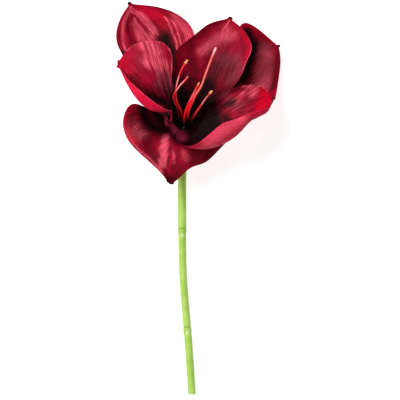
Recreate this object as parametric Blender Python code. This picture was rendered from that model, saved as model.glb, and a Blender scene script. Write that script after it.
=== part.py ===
"""Amaryllis: one open bloom on its cut stem, lying face up on a flat surface.

Everything is worked out in millimetres and turned to metres when a mesh is made. +X is the
picture's right, +Y the way the bloom points along the surface, +Z up. The origin is under the
middle of the whole object, on the surface. The bloom is built round its throat, the point on the
bloom's axis where the petals, called tepals, leave the ovary.
"""
import bpy
import numpy as np

MM = 0.001

# Driving dimensions
THROAT = np.array((-16.5, 81.1, 27.6))      # where the tepals leave the ovary
BLOOM_AXIS = (0.17, 0.62, 0.766)            # the way the bloom opens, before it is made unit length
TEPAL_THICKNESS = 1.3
MARGIN_THINNING = 0.35                      # share of the thickness that is gone at a tepal's edge
REST_FLAT = 0.0                             # height of the surface that the bloom lies on
PRESSED_THICKNESS = 0.8                     # the least thickness where a tepal is pressed flat on it

CLAW_HEIGHTS = (0.0, 5.0, 12.0, 20.0)       # up the bloom's axis, along a tepal's narrow start
CLAW_RADII = (7.6, 7.8, 9.6, 13.0)
OUTER_LAYERS = (2.8, 3.2, 4.6, 5.0)         # how much farther out the outer whorl's start lies
INNER_WRAP = 52.0                           # half of the angle, in degrees, that a start wraps round
OUTER_WRAP = 42.0
EDGE_POWER = 1.3                            # how late across a half the curl sets in
ROUND_SHARE = 0.2                           # a cross-section goes over from an arc to that by here
SWEEP_POWER = 1.6                           # how late across a half the sweep sets in

# How finely the solids are made
TEPAL_ROWS = 25
HALF_COLUMNS = 9
COLUMN_CROWDING = 1.4                       # over 1, columns lie closer together near the edge
FINER = 8                                   # steps summed up from one column to the next
ROUTE_STEPS = 400
STEM_ROWS = 60
STEM_SIDES = 20
COLLAR_SIDES = 24
FILAMENT_ROWS = 24
FILAMENT_SIDES = 8

STEM_RADIUS = 4.6
STEM_ROUTE = (                              # centre line, from the cut end to the ovary
    (-7.1, -235.2, 5.0),
    (-12.2, -161.3, 5.0),
    (-17.2, -100.1, 5.3),
    (-18.9, -41.0, 5.7),
    (-18.8, 28.0, 6.2),
    (-19.3, 56.0, 6.8),
)
RING_PLACES = (77.5, 196.5)                 # distances of the two rings from the cut end
RING_LENGTH = 5.0
RING_RISE = 0.5
UPPER_THICKENING = 0.5                      # the stretch above the upper ring is this much wider
THICKENING_REACH = 2.0                      # how gradually it widens

OVARY_HEIGHTS = (-24.0, -20.0, -15.0, -10.0, -5.0, -2.2, -0.6)
OVARY_RADII = (4.9, 5.6, 7.0, 7.8, 8.6, 10.6, 11.4)
FLOOR_HEIGHTS = (-0.6, 3.0, 7.0, 8.6)
FLOOR_RADII = (6.5, 6.4, 5.6, 4.4)

# Half widths are read at these places along a tepal. The first one is its start's. The blade ends at
# the last one, and only the blunt tip is left.
WIDTH_PLACES = (0.0, 0.15, 0.30, 0.45, 0.60, 0.75, 0.88, 0.98)

# Each tepal: azimuth round the bloom's axis in degrees, 0 to the picture's right; half width of its
# blunt tip; the midrib's points from the throat; the way the midrib's inner face looks at equal
# steps after the start; and for each half, seen from inside with the tip ahead: half widths, curl
# of the edge in degrees at equal steps after the start, and sweep, how far the edge lags behind the
# midrib as a share of the half width. A fold has its place across, its lift, its width across, and
# its first and last place along.
TEPALS = {
    "outer_left": dict(
        whorl="outer",
        azimuth=134,
        tip=2.4,
        midrib=((-11, 42, 4), (-23, 75.5, -9), (-36, 105.5, -21.5), (-50.5, 132, -26.4),
                (-66.9, 155.4, -24)),
        faces=((0.1, -0.4, 0.9), (0.1, -0.1, 1), (0.15, 0.1, 1), (0.1, 0.1, 1)),
        left=dict(widths=(8, 30, 29.5, 45, 44, 35), curl=(50, 45, 25, 0),
                  sweep=(0, -0.1, 0.25, -0.35)),
        right=dict(widths=(13, 28, 37.5, 49, 42.5, 21.5), curl=(12, 20, 30, 30)),
        folds=((0.0, -1.6, 0.10, 0.25, 1.0), (-0.62, 1.8, 0.14, 0.55, 0.95),
               (0.55, 1.5, 0.16, 0.45, 0.9)),
    ),
    "outer_right": dict(
        whorl="outer",
        azimuth=14,
        tip=1.6,
        midrib=((24, 27.5, 4), (45.5, 49, -9), (71, 73, -21.4), (93.5, 91, -27.3),
                (115.5, 103.5, -21.5)),
        faces=((-0.4, -0.2, 0.9), (-0.2, -0.1, 1), (-0.2, 0, 1), (-0.2, -0.1, 1)),
        left=dict(widths=(12, 27, 44.5, 59.5, 38, 43.5), curl=(12, 20, 30, 30)),
        right=dict(widths=(14, 37.5, 58, 58.5, 55.5, 30), curl=(40, 42, 38, 30),
                   sweep=(0.05, -0.15, 0.15, -0.6)),
        folds=((0.0, -1.6, 0.10, 0.25, 1.0), (0.5, 1.5, 0.15, 0.4, 0.9)),
    ),
    "outer_lower": dict(
        whorl="outer",
        azimuth=254,
        claw_steps=3,
        tip=3.6,
        midrib=((-4, -8.5, 21.5), (-12, -18, 27), (-18.5, -31, 31.5), (-20.5, -47, 33),
                (-15.5, -64, 29)),
        faces=((0.1, 0.8, 0.6), (0, 0.6, 0.8), (0, 0.2, 1), (0, -0.1, 1)),
        left=dict(widths=(11, 24, 54.5, 50.5, 35, 16.5), curl=(12, -25, -7, -10),
                  sweep=(0, 0.9, 0.3, 0, -0.65)),
        right=dict(widths=(8, 35, 55.5, 84.5, 34, 8), curl=(-40, 35, 105, 58, -87, 8),
                   sweep=(1.1, 0.6, 0.4, 0.53, 0.68, 1.5)),
        folds=((0.17, 2.2, 0.09, 0.35, 0.95), (0.04, -1.6, 0.07, 0.35, 0.9),
               (-0.14, 1.4, 0.08, 0.5, 0.9)),
    ),
    "inner_top": dict(
        whorl="inner",
        azimuth=74,
        tip=2.8,
        midrib=((12, 37, 24), (21.5, 61, 23), (31, 87.5, 19), (42, 114, 17), (56.6, 136.4, 21)),
        faces=((-0.1, -0.5, 0.9), (0, -0.1, 1), (0, 0.1, 1), (0, -0.1, 1)),
        left=dict(widths=(9, 25, 37, 43.5, 29, 17), curl=(35, 36, 45, 40)),
        right=dict(widths=(8, 21.5, 40.5, 46, 48, 38), curl=(45, 40, 45, 40),
                   sweep=(0, -0.15, 0, -0.55)),
        folds=((0.0, -1.3, 0.08, 0.25, 1.0),),
    ),
    "inner_left": dict(
        whorl="inner",
        azimuth=194,
        tip=6.0,
        midrib=((-9.5, 25, 33), (-26.5, 43, 45), (-44.5, 60, 51), (-62.5, 73, 47),
                (-79.5, 79, 34)),
        faces=((0.6, 0.4, 0.7), (0.3, 0.3, 0.9), (0.1, 0.2, 1), (-0.2, 0, 1)),
        left=dict(widths=(6.5, 20.2, 27.5, 53.5, 39, 17.5), curl=(-20, 165, 160, 215),
                  sweep=(0, 0.4, 0.1, 0.2), power=2.1),
        right=dict(widths=(8, 19.5, 18, 35, 47.5, 27), curl=(50, 40, 30, 20),
                   sweep=(0.25, 0, 0, -0.35)),
        folds=((0.0, -1.2, 0.08, 0.3, 1.0),),
    ),
    "inner_right": dict(
        whorl="inner",
        azimuth=318,
        tip=3.0,
        midrib=((13, -1, 32), (33.5, -3.5, 42), (55, 3.5, 48), (75.5, 18, 50),
                (93.5, 32.5, 46), (106, 38.5, 38)),
        faces=((-0.6, 0.4, 0.7), (-0.4, 0.5, 0.8), (-0.2, 0.5, 0.85), (0.3, 0.2, 0.9)),
        left=dict(widths=(6, 29.5, 40.5, 43, 30.5, 16), curl=(67, 70, 56, 48),
                  sweep=(0, 0, -0.3, -0.7, -1.1)),
        right=dict(widths=(14.3, 32.5, 49, 54, 31, 30), curl=(88, 136, 205, 58),
                   sweep=(0.1, 0.38, 0.15, 0.5, 0.2), power=1.5),
        folds=((0.0, -1.2, 0.08, 0.3, 1.0),),
    ),
}
COLLAR_HEIGHTS = (8.9, 10.4)                # the small collar that the filaments grow from
COLLAR_RADII = (2.2, 4.4)                   # its hole and its rim
FILAMENT_ROOT_RADIUS = 3.3
BLUNT_END = 0.5                             # radius of the flat end of an anther and of the stigma
# Each filament: azimuth of its root round the bloom's axis, its points from the throat, its radii
# at equal steps from the root to the tip, and the length and radius of its anther
FILAMENTS = (
    dict(
        azimuth=140,
        line=((-2.2, 15, 19.5), (-3.2, 22.5, 31.5), (-5.6, 29, 38), (-8.6, 35.5, 42.5),
              (-9.7, 42, 45.5), (-9.4, 49, 49.5), (-8.2, 56.5, 54), (-6.2, 63.5, 58.5),
              (-3.6, 71, 62.5), (-0.6, 76.5, 65.5), (4.6, 84.5, 70)),
        radii=(1.2, 1.25, 1.3, 1.2, 0.95, 0.95, 1.3),
        anther=(9.5, 1.7),
    ),
    dict(
        azimuth=200,
        line=((-5.2, 13, 19.5), (-6.6, 20.2, 28.3), (-7.6, 26.6, 35.6), (-11, 34, 41.8),
              (-12.6, 40.2, 47), (-10.6, 45.6, 53), (-6.8, 51, 57), (-2.4, 56.4, 59.5),
              (1.8, 60.6, 61), (4.8, 64.8, 62.5)),
        radii=(1.1, 1.0, 1.0, 1.0, 0.9, 0.9),
        anther=(4.0, 1.2),
    ),
    dict(
        azimuth=270,
        line=((0.6, 8.5, 17), (0.6, 15.2, 24), (2, 22.5, 29.4), (4.7, 30, 35.8), (7.9, 37, 42),
              (11.9, 44.5, 48.2), (15.4, 51.5, 53.8), (18.6, 58, 58)),
        radii=(1.4, 1.6, 1.6, 1.5, 1.25, 1.0),
        anther=(8.5, 1.15),
    ),
    dict(
        azimuth=340,
        line=((9, 13.5, 17), (12.5, 19, 24), (15.6, 24, 30), (18.6, 28, 34.5), (22.2, 33, 39.5),
              (26.4, 39, 45), (30.6, 44, 49.5), (34, 48, 53)),
        radii=(1.4, 1.5, 1.4, 1.1, 0.8, 0.75),
        anther=(8.5, 1.75),
    ),
)
STYLE_LINE = ((1.5, 5.6, 7), (3.6, 11, 15), (4.8, 16.5, 24), (5.5, 22.5, 32), (8, 30, 39.5),
              (11.4, 37, 45.7), (15.2, 44.5, 51.6), (19.8, 51.5, 55.5), (24.6, 63.5, 62), (28, 73, 65.5),
              (32.2, 84, 69), (36, 93.5, 72), (38.6, 99.3, 73.5))
STYLE_RADII = (1.45, 1.55, 1.55, 1.4, 1.2, 1.1, 1.15)
STIGMA = (10.0, 1.35)                       # length and radius of the style's end

PETAL_RED = (0.40, 0.012, 0.045, 1.0)
FILAMENT_RED = (0.70, 0.03, 0.02, 1.0)
STYLE_PINK = (0.75, 0.30, 0.25, 1.0)
STEM_GREEN = (0.36, 0.58, 0.10, 1.0)


def unit(vector):
    """The vector, or each row's vector, at unit length."""
    vector = np.asarray(vector, float)
    return vector / np.linalg.norm(vector, axis=-1, keepdims=True)


def smooth_through(knots, values, places):
    """Natural cubic spline through the values at the knots, read at the places."""
    knots = np.asarray(knots, float)
    values = np.asarray(values, float)
    flat = values.reshape(len(knots), -1)
    step = np.diff(knots)
    system = np.eye(len(knots))
    right = np.zeros_like(flat)
    for i in range(1, len(knots) - 1):
        system[i, i - 1:i + 2] = step[i - 1], 2 * (step[i - 1] + step[i]), step[i]
        slope_change = (flat[i + 1] - flat[i]) / step[i] - (flat[i] - flat[i - 1]) / step[i - 1]
        right[i] = 6 * slope_change
    bend = np.linalg.solve(system, right)
    places = np.asarray(places, float)
    i = np.clip(np.searchsorted(knots, places) - 1, 0, len(step) - 1)
    h = step[i][:, None]
    a = (knots[i + 1] - places)[:, None] / h
    b = 1 - a
    line = a * flat[i] + b * flat[i + 1]
    curve = ((a**3 - a) * bend[i] + (b**3 - b) * bend[i + 1]) * h * h / 6
    return (line + curve).reshape(len(places), *values.shape[1:])


AXIS = unit(BLOOM_AXIS)
ACROSS = unit(np.array((1.0, 0.0, 0.0)) - AXIS[0] * AXIS)   # in the bloom's plane, to the right
UPWARD = np.cross(AXIS, ACROSS)                             # in the bloom's plane, to the top


def outward(azimuth):
    """Unit vector away from the bloom's axis, at an azimuth in degrees."""
    turn = np.radians(azimuth)
    return np.cos(turn) * ACROSS + np.sin(turn) * UPWARD


def at_steps(values, places):
    """Values given at equal steps from 0 to 1, read smoothly at the places."""
    return smooth_through(np.linspace(0, 1, len(values)), values, places)


def travelled(points):
    """Distance along a line of points, from its first one."""
    return np.concatenate([[0], np.cumsum(np.linalg.norm(np.diff(points, axis=0), axis=1))])


def route(points, count):
    """A smooth line through the points: count places at equal steps, the directions, its length."""
    points = np.asarray(points, float)
    chord = travelled(points)
    fine = smooth_through(chord, points, np.linspace(0, chord[-1], ROUTE_STEPS))
    arc = travelled(fine)
    steps = np.linspace(0, arc[-1], count)
    reach = 0.5
    place = np.stack([np.interp(steps, arc, fine[:, k]) for k in range(3)], 1)
    ahead = np.stack([np.interp(steps + reach, arc, fine[:, k]) for k in range(3)], 1)
    behind = np.stack([np.interp(steps - reach, arc, fine[:, k]) for k in range(3)], 1)
    return place, unit(ahead - behind), arc[-1]


def shares_across(count):
    """Places across a half, 0 at the midrib and 1 at the edge, closer together near the edge."""
    return 1 - (1 - np.linspace(0, 1, count)) ** COLUMN_CROWDING


def summed(rate, v):
    """Running sum of a rate across a half, by the trapezium rule."""
    steps = (rate[:, 1:] + rate[:, :-1]) / 2 * np.diff(v)
    return np.concatenate([np.zeros((len(rate), 1)), np.cumsum(steps, axis=1)], 1)


def half_tepal(half, sign, spine, blade_root, tip, wrap):
    """The points of one half, from the midrib to its edge.

    Across a half, the surface's heading turns from the midrib's side direction towards the way
    its inner face looks, by curl * v ** power at a share v of the half width. The half width is
    that of the blade and of the blunt tip, which widens steadily from the start, added as squares.
    """
    place, along, side, face, u = spine
    widths = (blade_root, *half["widths"], 0)
    blade = smooth_through(WIDTH_PLACES, widths, np.minimum(u, WIDTH_PLACES[-1]))
    width = np.sqrt(blade**2 + (tip * u)**2)[:, None]
    curl = np.radians(at_steps((wrap, *half["curl"]), u))
    v = shares_across(FINER * (HALF_COLUMNS - 1) + 1)
    lateness = 1 + (half.get("power", EDGE_POWER) - 1) * np.minimum(u / ROUND_SHARE, 1)
    heading = curl[:, None] * v ** lateness[:, None]
    out = sign * width * summed(np.cos(heading), v)[:, ::FINER]
    rise = width * summed(np.sin(heading), v)[:, ::FINER]
    sweep = at_steps((0, *half.get("sweep", (0, 0))), u)[:, None]
    lag = sweep * width * v[::FINER] ** SWEEP_POWER
    points = place[:, None] + out[..., None] * side[:, None] + rise[..., None] * face[:, None]
    return points - lag[..., None] * along[:, None]


def grid_normals(grid):
    """Unit normals of a grid of points, towards the tepal's inner face."""
    return unit(np.cross(np.gradient(grid, axis=1), np.gradient(grid, axis=0)))


def tepal_surface(spec):
    """Middle surface of a tepal, rows from its start to its tip, and the places across it.

    Its points are from the throat. Its folds are a bell curve across times a half sine along.
    """
    outer = spec["whorl"] == "outer"
    layers = OUTER_LAYERS if outer else (0.0,) * len(CLAW_HEIGHTS)
    wrap = OUTER_WRAP if outer else INNER_WRAP
    away = outward(spec["azimuth"])
    claw = [h * AXIS + (r + layer) * away for h, r, layer in zip(CLAW_HEIGHTS, CLAW_RADII, layers)]
    claw = claw[:spec.get("claw_steps", len(claw))]
    place, along, _ = route([*claw, *spec["midrib"]], TEPAL_ROWS)
    u = np.linspace(0, 1, TEPAL_ROWS)
    face = at_steps(unit(np.array([-away, *spec["faces"]])), u)
    face = unit(face - np.sum(face * along, 1, keepdims=True) * along)
    spine = place, along, np.cross(along, face), face, u
    blade_root = (CLAW_RADII[0] + layers[0]) * np.radians(wrap)
    left = half_tepal(spec["left"], -1, spine, blade_root, spec["tip"], wrap)
    right = half_tepal(spec["right"], 1, spine, blade_root, spec["tip"], wrap)
    grid = np.concatenate([left[:, ::-1], right[:, 1:]], 1)
    half = shares_across(HALF_COLUMNS)
    across = np.concatenate([-half[::-1], half[1:]])
    relief = np.zeros(grid.shape[:2])
    for centre, lift, wide, first, last in spec["folds"]:
        share = np.clip((u - first) / (last - first), 0, 1)[:, None]
        relief += lift * np.sin(np.pi * share) * np.exp(-((across - centre) / wide) ** 2)
    return grid + relief[..., None] * grid_normals(grid), across


def grid_faces(rows, columns):
    """Two triangles for each cell of a grid, numbered row by row."""
    index = np.arange(rows * columns).reshape(rows, columns)
    a, b, c, d = index[:-1, :-1], index[:-1, 1:], index[1:, 1:], index[1:, :-1]
    first = np.stack([a, b, c], -1).reshape(-1, 3)
    second = np.stack([a, c, d], -1).reshape(-1, 3)
    return np.concatenate([first, second]), index


def sheet_solid(grid, thickness):
    """A closed sheet: each point moved by half the thickness to both sides, and a rim between."""
    rows, columns = grid.shape[:2]
    half = thickness / 2 * grid_normals(grid)
    points = np.concatenate([(grid + half).reshape(-1, 3), (grid - half).reshape(-1, 3)])
    top, index = grid_faces(rows, columns)
    under = top[:, ::-1] + rows * columns
    rim = np.concatenate([index[0, :-1], index[:-1, -1], index[-1, :0:-1], index[:0:-1, 0]])
    after = np.roll(rim, -1)
    low = rows * columns
    band = np.concatenate([
        np.stack([rim, rim + low, after], -1),
        np.stack([after, rim + low, after + low], -1),
    ])
    return points, np.concatenate([top, under, band])


def tube_solid(place, along, radii, sides, up):
    """A closed tube along a line, with flat ends. The sides start at the direction up."""
    right = unit(np.cross(along, up))
    top = np.cross(right, along)
    turn = np.linspace(0, 2 * np.pi, sides, endpoint=False)
    ring = np.cos(turn)[None, :, None] * right[:, None] + np.sin(turn)[None, :, None] * top[:, None]
    points = place[:, None] + np.asarray(radii, float)[:, None, None] * ring
    rows = len(place)
    index = np.arange(rows * sides).reshape(rows, sides)
    nearer, farther = index[:-1], index[1:]
    following = np.roll(index, -1, axis=1)
    first = np.stack([nearer, following[:-1], following[1:]], -1).reshape(-1, 3)
    second = np.stack([nearer, following[1:], farther], -1).reshape(-1, 3)
    faces = [tuple(map(int, face)) for face in np.concatenate([first, second])]
    faces.append(tuple(map(int, index[0, ::-1])))
    faces.append(tuple(map(int, index[-1])))
    return points.reshape(-1, 3), faces


def material(name, colour, roughness):
    """A plain Principled material."""
    made = bpy.data.materials.new(name)
    made.use_nodes = True
    shader = made.node_tree.nodes["Principled BSDF"]
    shader.inputs["Base Color"].default_value = colour
    shader.inputs["Roughness"].default_value = roughness
    shader.inputs["Metallic"].default_value = 0.0
    return made


def solid(name, points, faces, parent, look):
    """An object with a closed mesh whose faces point out, placed under its parent."""
    mesh = bpy.data.meshes.new(name)
    mesh.from_pydata((np.asarray(points) * MM).tolist(), [], [tuple(map(int, face)) for face in faces])
    mesh.update()
    corners = [[mesh.vertices[k].co for k in face.vertices[:3]] for face in mesh.polygons]
    volume = sum(a.dot(b.cross(c)) for a, b, c in corners)
    if volume < 0:
        mesh.flip_normals()
    mesh.shade_smooth()
    mesh.materials.append(look)
    made = bpy.data.objects.new(name, mesh)
    made.parent = parent
    bpy.context.scene.collection.objects.link(made)
    return made


def fuse(name, pieces):
    """One object from several that overlap: a Boolean union of the rest with the first, applied."""
    first, *rest = pieces
    helpers = bpy.data.collections.new(name + "_pieces")
    for piece in rest:
        helpers.objects.link(piece)
    union = first.modifiers.new("union", "BOOLEAN")
    union.operation = "UNION"
    union.operand_type = "COLLECTION"
    union.collection = helpers
    bpy.context.view_layer.update()
    evaluated = first.evaluated_get(bpy.context.evaluated_depsgraph_get())
    fused = bpy.data.meshes.new_from_object(evaluated)
    first.modifiers.clear()
    first.data = fused
    first.name = name
    fused.name = name
    for piece in rest:
        bpy.data.objects.remove(piece)
    bpy.data.collections.remove(helpers)
    return first


def add_tepals(bloom, look):
    """The six tepals. What would reach below the surface is pressed flat on it."""
    for name, spec in TEPALS.items():
        grid, across = tepal_surface(spec)
        thickness = TEPAL_THICKNESS * (1 - MARGIN_THINNING * across**2)
        points, faces = sheet_solid(grid, thickness[None, :, None])
        lowest = REST_FLAT - THROAT[2] + np.repeat((PRESSED_THICKNESS, 0.0), len(points) // 2)
        points[:, 2] = np.maximum(points[:, 2], lowest)
        solid(name, points, faces, bloom, look)


def stem_radii(distances):
    """The stem's radius at each distance from its cut end: the two rings are flat-topped bells."""
    above = 1 / (1 + np.exp(-(distances - RING_PLACES[1]) / THICKENING_REACH))
    radii = STEM_RADIUS + UPPER_THICKENING * above
    for ring in RING_PLACES:
        radii += RING_RISE * np.exp(-((distances - ring) / (RING_LENGTH / 2)) ** 4)
    return radii


def add_stem(root, look):
    """The scape, the bend into the bloom's axis, the ovary and the throat's floor, in one piece."""
    ovary_foot = THROAT + OVARY_HEIGHTS[0] * AXIS
    place, along, length = route([*STEM_ROUTE, ovary_foot], STEM_ROWS)
    along[-1] = AXIS
    radii = stem_radii(np.linspace(0, length, STEM_ROWS))
    heights = (*OVARY_HEIGHTS[1:], *FLOOR_HEIGHTS)
    place = np.concatenate([place, [THROAT + height * AXIS for height in heights]])
    along = np.concatenate([along, np.tile(AXIS, (len(heights), 1))])
    radii = np.concatenate([radii, OVARY_RADII[1:], FLOOR_RADII])
    points, faces = tube_solid(place, along, radii, STEM_SIDES, np.array((1.0, 0.0, 0.0)))
    points[:, 2] = np.maximum(points[:, 2], REST_FLAT)
    solid("stem", points, faces, root, look)


def collar_solid():
    """The collar: a ring with a square profile round the bloom's axis."""
    turn = np.linspace(0, 2 * np.pi, COLLAR_SIDES, endpoint=False)
    ring = np.cos(turn)[:, None] * ACROSS + np.sin(turn)[:, None] * UPWARD
    low, high = COLLAR_HEIGHTS
    hole, rim = COLLAR_RADII
    corners = ((low, rim), (high, rim), (high, hole), (low, hole))
    points = np.concatenate([height * AXIS + radius * ring for height, radius in corners])
    index = np.arange(len(points)).reshape(len(corners), COLLAR_SIDES)
    onward = np.roll(index, -1, axis=0)
    faces = np.stack([index, np.roll(index, -1, axis=1), np.roll(onward, -1, axis=1), onward], -1)
    return points, faces.reshape(-1, 4)


def swollen_end(radii, length, swelling):
    """Radii along a strand, with an oval swelling of a given length and radius at its tip."""
    long, wide = swelling
    from_tip = length * (1 - np.linspace(0, 1, len(radii)))
    oval = np.sqrt(np.clip(1 - (2 * from_tip / long - 1) ** 2, 0, 1))
    swollen = np.maximum(radii, wide * oval)
    swollen[-1] = BLUNT_END
    return swollen


def add_stamens(bloom, look):
    """Four filaments with their anthers, on one collar round the style."""
    pieces = [solid("collar", *collar_solid(), bloom, look)]
    share = np.linspace(0, 1, FILAMENT_ROWS)
    for number, spec in enumerate(FILAMENTS):
        root = np.mean(COLLAR_HEIGHTS) * AXIS + FILAMENT_ROOT_RADIUS * outward(spec["azimuth"])
        place, along, length = route([root, *spec["line"]], FILAMENT_ROWS)
        radii = swollen_end(at_steps(spec["radii"], share), length, spec["anther"])
        tube = tube_solid(place, along, radii, FILAMENT_SIDES, UPWARD)
        pieces.append(solid(f"filament_{number}", *tube, bloom, look))
    fuse("stamens", pieces)


def add_pistil(bloom, look):
    """The style, ending in a slim stigma."""
    place, along, length = route(STYLE_LINE, FILAMENT_ROWS)
    radii = at_steps(STYLE_RADII, np.linspace(0, 1, FILAMENT_ROWS))
    tube = tube_solid(place, along, swollen_end(radii, length, STIGMA), FILAMENT_SIDES, UPWARD)
    solid("pistil", *tube, bloom, look)


def main():
    """Clears the scene and builds the flower under its two empties."""
    for old in list(bpy.data.objects):
        bpy.data.objects.remove(old)
    flower = bpy.data.objects.new("amaryllis", None)
    bpy.context.scene.collection.objects.link(flower)
    bloom = bpy.data.objects.new("bloom", None)
    bloom.location = THROAT * MM
    bloom.parent = flower
    bpy.context.scene.collection.objects.link(bloom)
    petal = material("petal", PETAL_RED, 0.45)
    add_tepals(bloom, petal)
    add_stem(flower, material("stem", STEM_GREEN, 0.5))
    add_stamens(bloom, material("filament", FILAMENT_RED, 0.4))
    add_pistil(bloom, material("style", STYLE_PINK, 0.4))


main()
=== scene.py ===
"""One open amaryllis bloom on its bare green stem, lying face up on a white table.

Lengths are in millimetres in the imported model's frame and become metres where a mesh is made. +X is
the picture's right, +Y its top and +Z up. The six petals, called tepals, are worked out round the
throat, the point on the bloom's axis where they leave the ovary.
"""

import bpy
import numpy as np
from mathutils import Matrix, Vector


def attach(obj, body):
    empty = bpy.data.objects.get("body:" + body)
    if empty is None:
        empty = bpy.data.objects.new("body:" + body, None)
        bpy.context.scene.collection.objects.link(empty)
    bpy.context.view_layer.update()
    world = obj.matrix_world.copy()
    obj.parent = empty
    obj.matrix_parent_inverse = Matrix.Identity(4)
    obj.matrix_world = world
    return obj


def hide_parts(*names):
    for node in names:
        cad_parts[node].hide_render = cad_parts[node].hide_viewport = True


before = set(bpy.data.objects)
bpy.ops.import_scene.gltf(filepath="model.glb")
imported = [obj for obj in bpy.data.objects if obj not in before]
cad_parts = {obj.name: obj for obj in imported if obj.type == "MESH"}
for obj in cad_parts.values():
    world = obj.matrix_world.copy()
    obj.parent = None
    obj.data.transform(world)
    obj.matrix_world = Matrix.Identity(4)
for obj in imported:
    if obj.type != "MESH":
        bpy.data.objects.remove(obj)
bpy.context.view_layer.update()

MM = 0.001

# The bloom's place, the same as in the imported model
THROAT = np.array((-16.5, 81.1, 27.6))
BLOOM_AXIS = (0.17, 0.62, 0.766)
TEPAL_THICKNESS = 1.2
MARGIN_THINNING = 0.45  # share of the thickness that is gone towards the margin
TEPAL_ROWS = 221
HALF_COLUMNS = 61
COLUMN_CROWDING = 1.5  # over 1, columns lie closer together near the margin
PRESSED_SHARE = 0.65  # share of its thickness that a pressed tepal keeps
ROUND_RIM = 0.03  # share of a half width that its rounded edge takes
ROUND_TIP = 0.015  # share of the length that the tip's rounding takes
LAST_SHARE = 0.1  # share of the blunt tip's width that its end keeps
TIP_SWELL = 0.5  # share by which the blunt tip is thicker
SWELL_PLACES = (0.95, 0.98)  # places along between which it gets thicker
ROUTE_STEPS = 400  # points of a smooth line that its steps are read from
HEADING_REACH = 0.5  # a line's heading is taken this far behind and ahead
STROKE_POWER = 2.6  # over 2, a stroke's edge is crisper than a bell curve's
STROKE_STEPS = 10  # points read on a stroke between two of its places

CLAW_HEIGHTS = (0.0, 5.0, 12.0, 20.0)  # up the bloom's axis, along a tepal's narrow start
CLAW_RADII = (7.6, 7.8, 9.6, 13.0)
OUTER_LAYERS = (2.8, 3.2, 4.6, 5.0)  # how much farther out the outer whorl's start lies
INNER_WRAP = 52.0  # half of the angle that a tepal's start wraps round
OUTER_WRAP = 42.0
EDGE_POWER = 1.3  # how late across a half the curl sets in
ROUND_SHARE = 0.2  # a cross-section goes over from an arc to that by here
SWEEP_POWER = 1.6  # how late across a half the sweep sets in

# Half widths are read at these places along a tepal. The first one is its start's. The blade ends at
# the last one, and only the blunt tip is left.
WIDTH_PLACES = (0.0, 0.15, 0.30, 0.45, 0.60, 0.75, 0.88, 0.98)

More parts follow.
